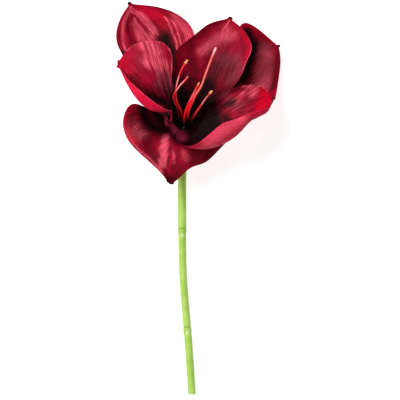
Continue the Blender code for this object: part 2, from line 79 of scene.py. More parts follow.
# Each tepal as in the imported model. Its azimuth goes round the bloom's axis, its midrib's points are
# from the throat, `faces` are the ways that its inner face looks, at equal steps after the first,
# which is towards the axis, and `tip` is the blunt tip's half width. Left and right are seen from
# the inner face with the tip on top. A half has its widths, its curl in degrees and its sweep, the
# share of its width by which the margin lags behind. A fold has its place across, its lift, its
# width across, and its first and last place along.
TEPALS = {
    "outer_left": dict(
        whorl="outer",
        azimuth=134,
        tip=2.4,
        midrib=((-11, 42, 4), (-23, 75.5, -9), (-36, 105.5, -21.5), (-50.5, 132, -26.4),
                (-66.9, 155.4, -24)),
        faces=((0.1, -0.4, 0.9), (0.1, -0.1, 1), (0.15, 0.1, 1), (0.1, 0.1, 1)),
        left=dict(widths=(8, 30, 29.5, 45, 44, 35), curl=(50, 45, 25, 0),
                  sweep=(0, -0.1, 0.25, -0.35)),
        right=dict(widths=(13, 28, 37.5, 49, 42.5, 21.5), curl=(12, 20, 30, 30)),
        folds=((0.0, -1.6, 0.10, 0.25, 1.0), (-0.62, 1.8, 0.14, 0.55, 0.95),
               (0.55, 1.5, 0.16, 0.45, 0.9)),
    ),
    "outer_right": dict(
        whorl="outer",
        azimuth=14,
        tip=1.6,
        midrib=((24, 27.5, 4), (45.5, 49, -9), (71, 73, -21.4), (93.5, 91, -27.3),
                (115.5, 103.5, -21.5)),
        faces=((-0.4, -0.2, 0.9), (-0.2, -0.1, 1), (-0.2, 0, 1), (-0.2, -0.1, 1)),
        left=dict(widths=(12, 27, 44.5, 59.5, 38, 43.5), curl=(12, 20, 30, 30)),
        right=dict(widths=(14, 37.5, 58, 58.5, 55.5, 30), curl=(40, 42, 38, 30),
                   sweep=(0.05, -0.15, 0.15, -0.6)),
        folds=((0.0, -1.6, 0.10, 0.25, 1.0), (0.5, 1.5, 0.15, 0.4, 0.9)),
    ),
    "outer_lower": dict(
        whorl="outer",
        azimuth=254,
        claw_steps=3,
        tip=3.6,
        midrib=((-4, -8.5, 21.5), (-12, -18, 27), (-18.5, -31, 31.5), (-20.5, -47, 33),
                (-15.5, -64, 29)),
        faces=((0.1, 0.8, 0.6), (0, 0.6, 0.8), (0, 0.2, 1), (0, -0.1, 1)),
        left=dict(widths=(11, 24, 54.5, 50.5, 35, 16.5), curl=(12, -25, -7, -10),
                  sweep=(0, 0.9, 0.3, 0, -0.65)),
        right=dict(widths=(8, 35, 55.5, 84.5, 34, 8), curl=(-40, 35, 105, 58, -87, 8),
                   sweep=(1.1, 0.6, 0.4, 0.53, 0.68, 1.5)),
        folds=((0.17, 2.2, 0.09, 0.35, 0.95), (0.04, -1.6, 0.07, 0.35, 0.9),
               (-0.14, 1.4, 0.08, 0.5, 0.9)),
    ),
    "inner_top": dict(
        whorl="inner",
        azimuth=74,
        tip=2.8,
        midrib=((12, 37, 24), (21.5, 61, 23), (31, 87.5, 19), (42, 114, 17), (56.6, 136.4, 21)),
        faces=((-0.1, -0.5, 0.9), (0, -0.1, 1), (0, 0.1, 1), (0, -0.1, 1)),
        left=dict(widths=(9, 25, 37, 43.5, 29, 17), curl=(35, 36, 45, 40)),
        right=dict(widths=(8, 21.5, 40.5, 46, 48, 38), curl=(45, 40, 45, 40),
                   sweep=(0, -0.15, 0, -0.55)),
        folds=((0.0, -1.3, 0.08, 0.25, 1.0),),
    ),
    "inner_left": dict(
        whorl="inner",
        azimuth=194,
        tip=6.0,
        midrib=((-9.5, 25, 33), (-26.5, 43, 45), (-44.5, 60, 51), (-62.5, 73, 47),
                (-79.5, 79, 34)),
        faces=((0.6, 0.4, 0.7), (0.3, 0.3, 0.9), (0.1, 0.2, 1), (-0.2, 0, 1)),
        left=dict(widths=(6.5, 20.2, 27.5, 53.5, 39, 17.5), curl=(-20, 165, 160, 215),
                  sweep=(0, 0.4, 0.1, 0.2), power=2.1),
        right=dict(widths=(8, 19.5, 18, 35, 47.5, 27), curl=(50, 40, 30, 20),
                   sweep=(0.25, 0, 0, -0.35)),
        folds=((0.0, -1.2, 0.08, 0.3, 1.0),),
    ),
    "inner_right": dict(
        whorl="inner",
        azimuth=318,
        tip=3.0,
        midrib=((13, -1, 32), (33.5, -3.5, 42), (55, 3.5, 48), (75.5, 18, 50),
                (93.5, 32.5, 46), (106, 38.5, 38)),
        faces=((-0.6, 0.4, 0.7), (-0.4, 0.5, 0.8), (-0.2, 0.5, 0.85), (0.3, 0.2, 0.9)),
        left=dict(widths=(6, 29.5, 40.5, 43, 30.5, 16), curl=(67, 70, 56, 48),
                  sweep=(0, 0, -0.3, -0.7, -1.1)),
        right=dict(widths=(14.3, 32.5, 49, 54, 31, 30), curl=(88, 136, 205, 58),
                   sweep=(0.1, 0.38, 0.15, 0.5, 0.2), power=1.5),
        folds=((0.0, -1.2, 0.08, 0.3, 1.0),),
    ),
}

# What only this dressing has. `veins` is the number of raised veins on a half and their height,
# `streaks` how strongly the fine veins show in the pigment, `rays` whether they run straight out
# from the tepal's start instead of along it, `throat` the places along between which the throat's
# painted shade, black, fades away, and `ruffle` the height and number of waves along each margin.
# `wrinkles` are ripples round a centre, given from the throat: the heading of their crests in
# degrees, their spacing, and how far they reach along and across the crests. Their crests get a
# painted highlight.
DRESSING = {
    "outer_left": dict(veins=(7, 0.25), streaks=0.9, throat=(0.3, 0.54), ruffle=(0.5, 3.0)),
    "outer_right": dict(veins=(8, 0.08), streaks=0.5, throat=(0.3, 0.52), ruffle=(0.6, 3.0)),
    "outer_lower": dict(veins=(9, 0.25), streaks=0.5, throat=(0.3, 0.44), ruffle=(0.5, 3.0),
                        wrinkles=dict(centre=(-58.0, 0.5), heading=38, spacing=3.3, reach=(11, 11))),
    "inner_top": dict(veins=(8, 0.06), streaks=0.5, throat=(0.3, 0.6), ruffle=(0.3, 2.0)),
    "inner_left": dict(veins=(11, 0.22), streaks=1.0, rays=True, throat=(0.38, 0.62),
                       ruffle=(0.3, 2.0)),
    "inner_right": dict(veins=(10, 0.18), streaks=1.0, rays=True, throat=(0.44, 0.68),
                        ruffle=(0.4, 3.0)),
}

# The strokes of paint on the inner faces: a kind, a reach in millimetres and a strength, and then
# the places that the stroke runs through, each one a place across from -1 to 1 and a place along
# from 0 to 1. Of the kinds, dark is black: painted shade in the throat, in creases and where other
# tepals lie over, and also the dark hooked tip of the outer right tepal. Deep is a darker red, partly
# the tepals' own and partly painted shade in grooves and beside folds. Bright is a clearer red,
# partly their own and partly painted light on lit margins and tips. Mauve is a painted sheen. Pale
# is painted highlights on ridges, folds and margins. Plum and rose are a dimmer and a rosier red,
# laid over the throat's painted shade where lobes and hooks stand out of it.
PAINT = {
    "outer_left": (
        ("bright", 8, 0.4, (0.45, 0.9), (0.6, 0.84), (0.5, 0.76)),
        ("deep", 2.6, 0.8, (-0.46, 0.91), (-0.54, 0.85), (-0.6, 0.76)),
        ("deep", 6, 0.9, (-0.85, 0.72), (-0.6, 0.68), (-0.4, 0.66)),
        ("deep", 9, 0.8, (0.31, 0.76), (0.2, 0.7), (0.15, 0.66)),
        ("dark", 9, 1.0, (0.3, 0.66), (0.25, 0.6), (0.31, 0.54), (0.3, 0.46)),
        ("dark", 6, 0.85, (-0.9, 0.72), (-0.81, 0.69), (-0.5, 0.64), (-0.2, 0.6)),
        ("pale", 0.9, 0.9, (-0.35, 0.965), (-0.02, 0.9), (0.0, 0.84), (0.07, 0.79), (0.1, 0.73)),
        ("pale", 0.9, 0.9, (-0.1, 0.965), (0.17, 0.89), (0.17, 0.82), (0.19, 0.75), (0.19, 0.7)),
        ("deep", 1.2, 0.6, (-0.25, 0.92), (-0.12, 0.83), (-0.07, 0.76), (-0.02, 0.7)),
        ("pale", 1.2, 0.7, (-0.17, 0.88), (-0.15, 0.8), (-0.07, 0.69)),
        ("deep", 2.2, 0.5, (-0.84, 0.87), (-0.88, 0.81)),
        ("pale", 2.0, 0.4, (-0.46, 0.94), (-0.66, 0.9), (-0.73, 0.85), (-0.86, 0.74)),
        ("pale", 3.0, 0.35, (-0.26, 0.86), (-0.28, 0.8), (-0.33, 0.74)),
        ("pale", 5.5, 0.6, (-0.2, 0.78), (-0.18, 0.73), (-0.05, 0.71)),
        ("pale", 4.0, 0.55, (0.12, 0.88), (0.15, 0.8), (0.13, 0.73)),
        ("pale", 1.2, 0.8, (0.68, 0.78), (0.52, 0.67), (0.5, 0.55)),
        ("pale", 1.2, 0.8, (0.74, 0.74), (0.61, 0.62), (0.59, 0.5)),
        ("pale", 5.5, 0.45, (0.9, 0.76), (0.84, 0.67), (0.85, 0.57)),
        ("dark", 1.5, 0.85, (-1.0, 0.84), (-1.0, 0.77), (-1.0, 0.68)),
        ("dark", 1.2, 0.8, (1.0, 0.9), (1.0, 0.84), (1.0, 0.76)),
    ),
    "outer_right": (
        ("bright", 5, 0.4, (-0.9, 0.88), (-0.95, 0.93), (-0.9, 0.96)),
        ("bright", 4, 0.15, (0.88, 0.93), (0.95, 0.86), (0.95, 0.76)),
        ("deep", 5, 0.8, (0.8, 0.93), (0.88, 0.88), (0.88, 0.8)),
        ("mauve", 9, 1.0, (-0.12, 0.88), (0.17, 0.83), (0.33, 0.79), (0.46, 0.72), (0.52, 0.62)),
        ("pale", 9, 0.95, (0.1, 0.86), (0.3, 0.8), (0.42, 0.74), (0.48, 0.68), (0.54, 0.6)),
        ("dark", 6, 1.0, (-0.76, 0.85), (-0.35, 0.84), (-0.1, 0.76), (0.1, 0.67), (0.15, 0.6)),
        ("dark", 8, 1.0, (-0.3, 0.7), (-0.1, 0.62), (0.1, 0.52)),
        ("deep", 5, 0.7, (0.7, 0.75), (0.7, 0.66), (0.72, 0.58)),
        ("dark", 2.0, 0.95, (1.0, 0.99), (1.0, 0.97), (1.0, 0.95)),
    ),
    "outer_lower": (
        ("bright", 5.5, 0.6, (0.99, 0.58), (0.97, 0.64), (0.92, 0.67), (0.8, 0.69)),
        ("bright", 2.5, 0.2, (-0.05, 0.54), (-0.09, 0.62), (-0.12, 0.7)),
        ("deep", 7, 0.9, (0.45, 0.53), (0.35, 0.56), (0.3, 0.62), (0.24, 0.7)),
        ("deep", 6, 0.6, (0.8, 0.57), (0.7, 0.59)),
        ("deep", 11, 0.85, (-0.5, 0.52), (-0.6, 0.6), (-0.85, 0.58)),
        ("deep", 5, 0.6, (-0.2, 0.66), (-0.3, 0.72)),
        ("deep", 2.5, 0.6, (-0.21, 0.62), (-0.18, 0.53), (-0.15, 0.47)),
        ("deep", 6, 0.9, (0.17, 0.86), (0.02, 0.97), (-0.66, 0.88)),
        ("mauve", 5, 0.7, (0.6, 0.6), (0.5, 0.58), (0.5, 0.53)),
        ("dark", 10, 1.0, (0.97, 0.5), (0.85, 0.49), (0.73, 0.48), (0.6, 0.45), (0.52, 0.41)),
        ("dark", 9, 1.0, (0.96, 0.42), (0.8, 0.39), (0.66, 0.36), (0.52, 0.35)),
        ("dark", 2.2, 0.55, (0.04, 0.45), (-0.02, 0.53), (-0.03, 0.62), (-0.04, 0.72)),
        ("dark", 5, 0.6, (0.1, 0.93), (-0.1, 0.97), (-0.4, 0.94)),
        ("pale", 1.6, 0.6, (0.98, 0.68), (0.75, 0.7), (0.46, 0.72), (0.28, 0.81)),
        ("pale", 4.2, 0.9, (0.33, 0.4), (0.16, 0.47), (0.09, 0.55), (0.08, 0.63), (0.1, 0.72)),
        ("pale", 2.4, 0.7, (0.12, 0.5), (0.07, 0.58), (0.06, 0.66)),
        ("pale", 1.3, 0.35, (-0.02, 0.48), (-0.12, 0.57), (-0.2, 0.68)),
        ("pale", 3.5, 0.2, (-0.26, 0.5), (-0.34, 0.56), (-0.42, 0.6)),
        ("plum", 5.5, 0.9, (0.66, 0.24), (0.58, 0.22), (0.5, 0.22)),
        ("rose", 2.6, 0.8, (0.82, 0.33), (0.73, 0.34), (0.67, 0.34)),
    ),
    "inner_top": (
        ("deep", 7, 0.6, (-0.95, 0.6), (-0.95, 0.76), (-0.95, 0.85), (-0.95, 0.92)),
        ("deep", 8, 0.8, (-0.66, 0.66), (-0.46, 0.57), (-0.31, 0.5)),
        ("bright", 3.0, 0.45, (0.8, 0.92), (0.92, 0.84), (0.95, 0.7)),
        ("mauve", 7, 0.5, (-0.3, 0.68), (-0.07, 0.77), (0.19, 0.82)),
        ("mauve", 9, 0.6, (0.45, 0.66), (0.66, 0.68), (0.85, 0.61), (0.8, 0.5)),
        ("deep", 9, 0.5, (0.3, 0.72), (0.4, 0.66), (0.4, 0.58)),
        ("mauve", 8, 0.3, (0.2, 0.66), (0.3, 0.6), (0.3, 0.54)),
        ("pale", 5, 0.35, (-0.32, 0.66), (-0.15, 0.74), (0.05, 0.83)),
        ("pale", 6, 0.35, (0.15, 0.9), (0.15, 0.84), (0.4, 0.88)),
        ("pale", 0.8, 0.6, (0.1, 0.975), (0.05, 0.93), (0.0, 0.89), (0.02, 0.86)),
        ("pale", 1.0, 0.8, (1.0, 0.86), (1.0, 0.73), (1.0, 0.58)),
        ("dark", 7, 0.5, (0.22, 0.58), (0.23, 0.48)),
        ("dark", 13, 0.42, (0.1, 0.6), (0.3, 0.66), (0.55, 0.6), (0.6, 0.5), (0.3, 0.52)),
        ("dark", 10, 1.0, (0.2, 0.44), (0.15, 0.34), (0.24, 0.25), (0.35, 0.42)),
        ("dark", 9, 0.8, (-0.3, 0.42), (-0.6, 0.4)),
    ),
    "inner_left": (
        ("bright", 6, 0.3, (0.28, 0.97), (0.5, 0.93), (0.0, 0.88), (0.15, 0.86)),
        ("deep", 2.2, 0.7, (0.96, 0.69), (0.94, 0.64), (0.95, 0.6)),
        ("deep", 8, 0.9, (-0.35, 0.78), (-0.28, 0.7), (-0.2, 0.62), (-0.15, 0.56)),
        ("mauve", 7, 0.8, (0.46, 0.62), (0.73, 0.53), (0.65, 0.44), (0.3, 0.57)),
        ("pale", 8, 0.65, (0.91, 0.83), (0.66, 0.76), (0.42, 0.77), (0.57, 0.67)),
        ("pale", 1.2, 0.6, (1.0, 0.91), (1.0, 0.79), (1.0, 0.67), (1.0, 0.55)),
        ("dark", 6, 0.3, (0.71, 0.64), (0.73, 0.58), (0.66, 0.5)),
        ("dark", 6, 0.25, (0.18, 0.58), (0.31, 0.5)),
        ("dark", 5, 0.4, (0.0, 0.59), (0.05, 0.53)),
        ("dark", 9, 1.0, (-0.3, 0.6), (-0.26, 0.52), (-0.2, 0.44)),
        ("rose", 3.4, 1.0, (-1.0, 0.38), (-0.97, 0.32), (-1.0, 0.26)),
    ),
    "inner_right": (
        ("bright", 7, 1.0, (-0.72, 0.91), (-0.46, 0.95), (0.0, 0.9), (0.05, 0.86)),
        ("bright", 5, 0.2, (-0.22, 0.82), (-0.28, 0.79), (-0.33, 0.73)),
        ("deep", 5, 0.7, (-0.48, 0.82), (-0.4, 0.74), (-0.3, 0.7)),
        ("mauve", 7, 0.5, (-0.9, 0.59), (-0.75, 0.62), (-0.6, 0.64), (-0.5, 0.68)),
        ("deep", 5, 1.0, (-1.0, 0.72), (-0.94, 0.68), (-0.98, 0.62)),
        ("pale", 6.0, 0.6, (-1.0, 0.79), (-0.85, 0.82), (-0.75, 0.81)),
        ("pale", 3.0, 0.5, (-0.8, 0.75), (-0.65, 0.71), (-0.62, 0.66)),
        ("pale", 1.2, 0.6, (-1.0, 0.73), (-1.0, 0.81), (-1.0, 0.92)),
        ("dark", 12, 1.0, (-0.9, 0.3), (-0.41, 0.42), (-0.15, 0.42), (0.1, 0.3)),
        ("dark", 7, 0.9, (-0.3, 0.55), (0.1, 0.6), (0.3, 0.66)),
        ("dark", 5.5, 0.8, (-0.64, 0.64), (-0.67, 0.57), (-0.72, 0.5)),
        ("plum", 7, 1.0, (0.98, 0.21), (0.9, 0.25), (0.75, 0.24)),
    ),
}
# The same on the outer faces
BACK_PAINT = {
    "inner_left": (
        ("bright", 12, 0.3, (-0.9, 0.85), (-0.9, 0.7), (-0.9, 0.55)),
        ("deep", 6, 0.6, (-0.9, 0.44), (-0.9, 0.36)),
        ("pale", 1.2, 0.7, (-1.0, 0.75), (-1.0, 0.6), (-1.0, 0.45)),
    ),
    "inner_right": (
        ("pale", 10, 0.45, (0.85, 0.5), (0.85, 0.62), (0.9, 0.75)),
        ("deep", 4, 0.4, (1.0, 0.3), (1.0, 0.38), (0.97, 0.46)),
    ),
}
KINDS_OF_PAINT = ("deep", "bright", "mauve", "pale", "dark", "plum", "rose")
KINDS_OF_TINT = ("deep", "pink", "pale")
RAY_SPREAD = 2.4  # angle in radians over which the rays' share goes to 1
WRINKLE_HEIGHT = 0.45  # how far a wrinkle's crest stands up
CREST_HIGHLIGHT = 0.8  # how strongly a crest gets a painted highlight
BACK_STREAKS = 0.25  # how strongly the fine veins show on the outer faces
NUB_PLACES = (0.975, 0.995)  # places along between which the tip's nub turns dark

VEIN_START = (0.12, 0.3)  # places along between which the veins rise
VEIN_END = (0.86, 0.97)  # and between which they sink again
VEIN_SHIFT = 0.25  # how far, in spacings, a vein may lie off its even place
VEIN_SHARES = (0.5, 1.2)  # the least and the most of the height that a vein gets
VEIN_WAVER = 0.1  # how far it wavers to its sides, in spacings
VEIN_WAVES = 9  # radians of that from the start to the tip
VEIN_PHASES = (0, 6.28)  # radians between which it may begin
VEIN_WIDTH = 0.3  # a vein's half width, in spacings
RUFFLE_START = 0.1  # place along where the margin's waves begin
RUFFLE_EDGE = (0.55, 1.0)  # places across between which they grow

STEM_RADIUS = 4.6
STEM_SIDES = 64
STEM_ROWS = 420
STEM_ROUTE = (  # centre line, from the cut end to the ovary
    (-7.1, -235.2, 5.0),
    (-12.2, -161.3, 5.0),
    (-17.2, -100.1, 5.3),
    (-18.9, -41.0, 5.7),
    (-18.8, 28.0, 6.2),
    (-19.3, 56.0, 6.8),
)
RING_PLACES = (77.5, 196.5)  # distances of the two rings from the cut end
RING_LENGTH = 5.0
RING_RISE = 0.5
GROOVE_STEP = 0.6 * RING_LENGTH  # how far above its ring's middle a groove lies
GROOVE_DEPTH = 0.45
GROOVE_WIDTH = 0.7
GROOVE_SHADE = 1.0  # half the length that is darker there
SPOT_PLACES = (74.3, 191.8)  # the pale spots by the rings, on the side that faces up
SPOT_LENGTH = 2.2  # half a spot's length
SPOT_ANGLE = 24.0  # and the half angle that it takes up round the stem
SPOT_SHARE = 0.75
UPPER_THICKENING = 0.5  # the stretch above the upper ring is this much wider
THICKENING_REACH = 4.0  # which sets in over this far on both sides of that ring
CUT_DEPTH = 1.2  # how far the cut end's pith is sunk
# The cut end's profile from its middle out: shares of that depth and of the stem's radius
CUT_PROFILE = ((1, 0), (1, 0.45), (0.15, 0.62), (0, 0.93))

OVARY_HEIGHTS = (-24.0, -20.0, -15.0, -10.0, -5.0, -2.2, -0.6)
OVARY_RADII = (4.9, 5.6, 7.0, 7.8, 8.6, 10.6, 11.4)
FLOOR_HEIGHTS = (-0.6, 3.0, 7.0, 8.6)
FLOOR_RADII = (6.5, 6.4, 5.6, 4.4)
OVARY_ROWS = 70  # from the ovary's foot to the floor's top
BLUSH_REACH = (-9.0, -2.0)  # the ovary turns red between these heights
BLUSH_SHARE = 0.92
FLOOR_DARK = (-1.3, -0.6)  # and turn black between these, painted shade in the throat

COLLAR_HEIGHTS = (8.9, 10.4)  # the small collar that the filaments grow from
COLLAR_RADII = (2.2, 4.4)  # its hole and its rim
COLLAR_SIDES = 48
FILAMENT_ROOT_RADIUS = 3.3
# Each filament: azimuth of its root round the bloom's axis, its points from the throat, its radii
# at equal steps from the root to the tip, the length and radius of its anther, and its tints: a
# kind, a place along, a reach and a strength. The deep tint is painted shade, black: at the root in
# the throat, and about halfway up on the first two, where they cross
FILAMENTS = (
    dict(
        azimuth=140,
        line=((-2.2, 15, 19.5), (-3.2, 22.5, 31.5), (-5.6, 29, 38), (-8.6, 35.5, 42.5),
              (-9.7, 42, 45.5), (-9.4, 49, 49.5), (-8.2, 56.5, 54), (-6.2, 63.5, 58.5),
              (-3.6, 71, 62.5), (-0.6, 76.5, 65.5), (4.6, 84.5, 70)),
        radii=(1.2, 1.25, 1.3, 1.2, 0.95, 0.95, 1.3),
        anther=(9.5, 1.7),
        tints=(("deep", 0.0, 0.26, 1.0), ("deep", 0.42, 0.12, 0.45), ("pink", 0.74, 0.07, 0.9)),
    ),
    dict(
        azimuth=200,
        line=((-5.2, 13, 19.5), (-6.6, 20.2, 28.3), (-7.6, 26.6, 35.6), (-11, 34, 41.8),
              (-12.6, 40.2, 47), (-10.6, 45.6, 53), (-6.8, 51, 57), (-2.4, 56.4, 59.5),
              (1.8, 60.6, 61), (4.8, 64.8, 62.5)),
        radii=(1.1, 1.0, 1.0, 1.0, 0.9, 0.9),
        anther=(4.0, 1.2),
        tints=(("deep", 0.0, 0.36, 1.0), ("deep", 0.48, 0.16, 0.5), ("pink", 0.85, 0.1, 0.7)),
    ),
    dict(
        azimuth=270,
        line=((0.6, 8.5, 17), (0.6, 15.2, 24), (2, 22.5, 29.4), (4.7, 30, 35.8), (7.9, 37, 42),
              (11.9, 44.5, 48.2), (15.4, 51.5, 53.8), (18.6, 58, 58)),
        radii=(1.4, 1.6, 1.6, 1.5, 1.25, 1.0),
        anther=(8.5, 1.15),
        tints=(("deep", 0.0, 0.26, 1.0), ("pink", 0.78, 0.12, 0.3)),
    ),
    dict(
        azimuth=340,
        line=((9, 13.5, 17), (12.5, 19, 24), (15.6, 24, 30), (18.6, 28, 34.5), (22.2, 33, 39.5),
              (26.4, 39, 45), (30.6, 44, 49.5), (34, 48, 53)),
        radii=(1.4, 1.5, 1.4, 1.1, 0.8, 0.75),
        anther=(8.5, 1.75),
        tints=(("deep", 0.0, 0.34, 1.0), ("pink", 0.8, 0.12, 0.6)),
    ),
)
PINK_ANTHERS = (2,)  # the anthers, by number, that are pink and not yellow
ANTHER_RED_END = (0.4, 0.5)  # shares along an anther between which its red ends
ANTHER_SLIMMING = 0.25  # share by which it is slimmer past there
ANTHER_BLUNTNESS = 0.6  # power on its oval outline, which blunts its ends
ANTHER_GROOVE = (0.5, 0.4)  # its groove's half angle in radians and its share of depth
FILAMENT_OVERLAP = 0.5  # share of an anther that its filament reaches into
STRAND_ROWS = 420
STRAND_SIDES = 32
STYLE_LINE = ((1.5, 5.6, 7), (3.6, 11, 15), (4.8, 16.5, 24), (5.5, 22.5, 32), (8, 30, 39.5),
              (11.4, 37, 45.7), (15.2, 44.5, 51.6), (19.8, 51.5, 55.5), (24.6, 63.5, 62),
              (28, 73, 65.5), (32.2, 84, 69), (36, 93.5, 72), (38.6, 99.3, 73.5))
STYLE_RADII = (1.45, 1.55, 1.55, 1.4, 1.2, 1.1, 1.15)
STIGMA = (10.0, 1.35)  # length and radius of the style's end
# the deep tint is painted shade at the style's foot, in the throat
STYLE_TINTS = (("deep", 0.0, 0.19, 1.0), ("pale", 0.7, 0.24, 0.33), ("pale", 1.0, 0.08, 0.9))

# The picture: its centre on the table, its width there, and the camera's height
PICTURE_CENTRE = (2.7, -1.7)
PICTURE_WIDTH = 480.0
CAMERA_HEIGHT = 10000.0
SHARP_HEIGHT = 30.0  # the height at which the picture's width holds

# The table and the light, in metres
TABLE_HALF = 3.0
TABLE_LEVEL = -0.0003
TABLE_GREYS = ((0.50, 0.50, 0.50, 1.0), (0.54, 0.54, 0.54, 1.0))
TABLE_GLOW = 0.75  # a light table, so that the shadow on it stays pale
SURROUND_LIGHT = 0.3
KEY_LIGHT = dict(place=(-0.95, 0.75, 1.6), target=(0, 0.08, 0), size=1.0, power=52)
FILL_LIGHT = dict(place=(1.2, -0.6, 1.4), target=(0, 0.05, 0), size=0.9, power=5)


def unit(vector):
    """The vector, or each row's vector, at unit length."""
    vector = np.asarray(vector, float)
    return vector / np.linalg.norm(vector, axis=-1, keepdims=True)


def smooth_through(knots, values, places):
    """Natural cubic spline through the values at the knots, read at the places."""
    knots = np.asarray(knots, float)
    values = np.asarray(values, float)
    flat = values.reshape(len(knots), -1)
    step = np.diff(knots)
    system = np.eye(len(knots))
    right = np.zeros_like(flat)
    for i in range(1, len(knots) - 1):
        system[i, i - 1:i + 2] = step[i - 1], 2 * (step[i - 1] + step[i]), step[i]
        slope_change = (flat[i + 1] - flat[i]) / step[i] - (flat[i] - flat[i - 1]) / step[i - 1]
        right[i] = 6 * slope_change
    bend = np.linalg.solve(system, right)
    places = np.asarray(places, float)
    i = np.clip(np.searchsorted(knots, places) - 1, 0, len(step) - 1)
    h = step[i][:, None]
    a = (knots[i + 1] - places)[:, None] / h
    b = 1 - a
    line = a * flat[i] + b * flat[i + 1]
    curve = ((a**3 - a) * bend[i] + (b**3 - b) * bend[i + 1]) * h * h / 6
    return (line + curve).reshape(len(places), *values.shape[1:])


def bell(value, centre, width):
    """A bell curve, 1 at the centre and 1/e at the width from it."""
    return np.exp(-((value - centre) / width) ** 2)


def ramp(value, start, end):
    """0 before the start, 1 after the end, and smooth between."""
    share = np.clip((value - start) / (end - start), 0, 1)
    return share * share * (3 - 2 * share)


AXIS = unit(BLOOM_AXIS)
ACROSS = unit(np.array((1.0, 0.0, 0.0)) - AXIS[0] * AXIS)  # in the bloom's plane, to the right
UPWARD = np.cross(AXIS, ACROSS)  # in the bloom's plane, to the top
SKYWARD = np.array((0.0, 0.0, 1.0))


def outward(azimuth):
    """Unit vector away from the bloom's axis, at an azimuth in degrees."""
    turn = np.radians(azimuth)
    return np.cos(turn) * ACROSS + np.sin(turn) * UPWARD


def at_steps(values, places):
    """Values given at equal steps from 0 to 1, read smoothly at the places."""
    return smooth_through(np.linspace(0, 1, len(values)), values, places)


def travelled(points):
    """Distance along a line of points, from its first one."""
    return np.concatenate([[0], np.cumsum(np.linalg.norm(np.diff(points, axis=0), axis=1))])


def read_line(points, arc, distances):
    """The places on a line of points at these distances, arc being the distance of each point."""
    return np.stack([np.interp(distances, arc, points[:, k]) for k in range(3)], 1)


def route(points, count):
    """A smooth line through the points: count places at equal steps, the directions, its length."""
    points = np.asarray(points, float)
    chord = travelled(points)
    fine = smooth_through(chord, points, np.linspace(0, chord[-1], ROUTE_STEPS))
    arc = travelled(fine)
    steps = np.linspace(0, arc[-1], count)
    place = read_line(fine, arc, steps)
    ahead = read_line(fine, arc, steps + HEADING_REACH)
    behind = read_line(fine, arc, steps - HEADING_REACH)
    return place, unit(ahead - behind), arc[-1]


def half_shares():
    """Places across a half, 0 at the midrib and 1 at the margin, closer together near the margin."""
    return 1 - (1 - np.linspace(0, 1, HALF_COLUMNS)) ** COLUMN_CROWDING


def summed(rate, v):
    """Running sum of a rate across a half, by the trapezium rule."""
    steps = (rate[:, 1:] + rate[:, :-1]) / 2 * np.diff(v)
    return np.concatenate([np.zeros((len(rate), 1)), np.cumsum(steps, axis=1)], 1)


def half_tepal(half, sign, spine, blade_root, tip, wrap):
    """The points of one half, from the midrib to its margin.

    Across a half, the surface's heading turns from the midrib's side direction towards the way
    its inner face looks, by curl * v ** power at a share v of the half width. The half width is
    that of the blade and of the blunt tip, which widens steadily from the start and ends as a
    quarter of an oval, added as squares.
    """
    place, along, side, face, u = spine
    widths = (blade_root, *half["widths"], 0)
    blade = smooth_through(WIDTH_PLACES, widths, np.minimum(u, WIDTH_PLACES[-1]))
    past = np.clip((u - 1 + ROUND_TIP) / ROUND_TIP, 0, 1)
    rounding = np.maximum(np.sqrt(1 - past**2), LAST_SHARE)
    width = np.sqrt(blade**2 + (tip * u * rounding) ** 2)[:, None]
    curl = np.radians(at_steps((wrap, *half["curl"]), u))
    v = half_shares()
    lateness = 1 + (half.get("power", EDGE_POWER) - 1) * np.minimum(u / ROUND_SHARE, 1)
    heading = curl[:, None] * v ** lateness[:, None]
    out = sign * width * summed(np.cos(heading), v)
    rise = width * summed(np.sin(heading), v)
    sweep = at_steps((0, *half.get("sweep", (0, 0))), u)[:, None]
    lag = sweep * width * v ** SWEEP_POWER
    points = place[:, None] + out[..., None] * side[:, None] + rise[..., None] * face[:, None]
    return points - lag[..., None] * along[:, None]


def grid_normals(grid):
    """Unit normals of a grid of points, towards the tepal's inner face."""
    return unit(np.cross(np.gradient(grid, axis=1), np.gradient(grid, axis=0)))


def tepal_relief(spec, dressing, u, across, seed):
    """How far the surface lies off its plain form, in millimetres towards the inner face.

    It is the sum of the folds, a bell curve across times a half sine along; of the veins, narrow
    bell curves at uneven places across; and of the margin's waves, a sine along that grows outwards.
    """
    relief = np.zeros((len(u), len(across)))
    for centre, lift, wide, first, last in spec["folds"]:
        share = np.clip((u - first) / (last - first), 0, 1)[:, None]
        relief += lift * np.sin(np.pi * share) * bell(across, centre, wide)
    count, height = dressing["veins"]
    draw = np.random.default_rng(seed)
    spacing = 1 / count
    veined = ramp(u, *VEIN_START)[:, None] * (1 - ramp(u, *VEIN_END))[:, None]
    for k in range(-count, count + 1):
        centre = (k + draw.uniform(-VEIN_SHIFT, VEIN_SHIFT)) * spacing
        tallness = height * draw.uniform(*VEIN_SHARES)
        waver = VEIN_WAVER * spacing * np.sin(VEIN_WAVES * u + draw.uniform(*VEIN_PHASES))[:, None]
        relief += tallness * veined * bell(across[None, :] - waver, centre, VEIN_WIDTH * spacing)
    lift, waves = dressing["ruffle"]
    for sign in (-1, 1):
        phase = draw.uniform(0, 2 * np.pi)
        wave = np.sin(2 * np.pi * waves * u + phase) * np.sin(np.pi * ramp(u, RUFFLE_START, 1))
        relief += lift * wave[:, None] * ramp(sign * across, *RUFFLE_EDGE)[None, :]
    return relief


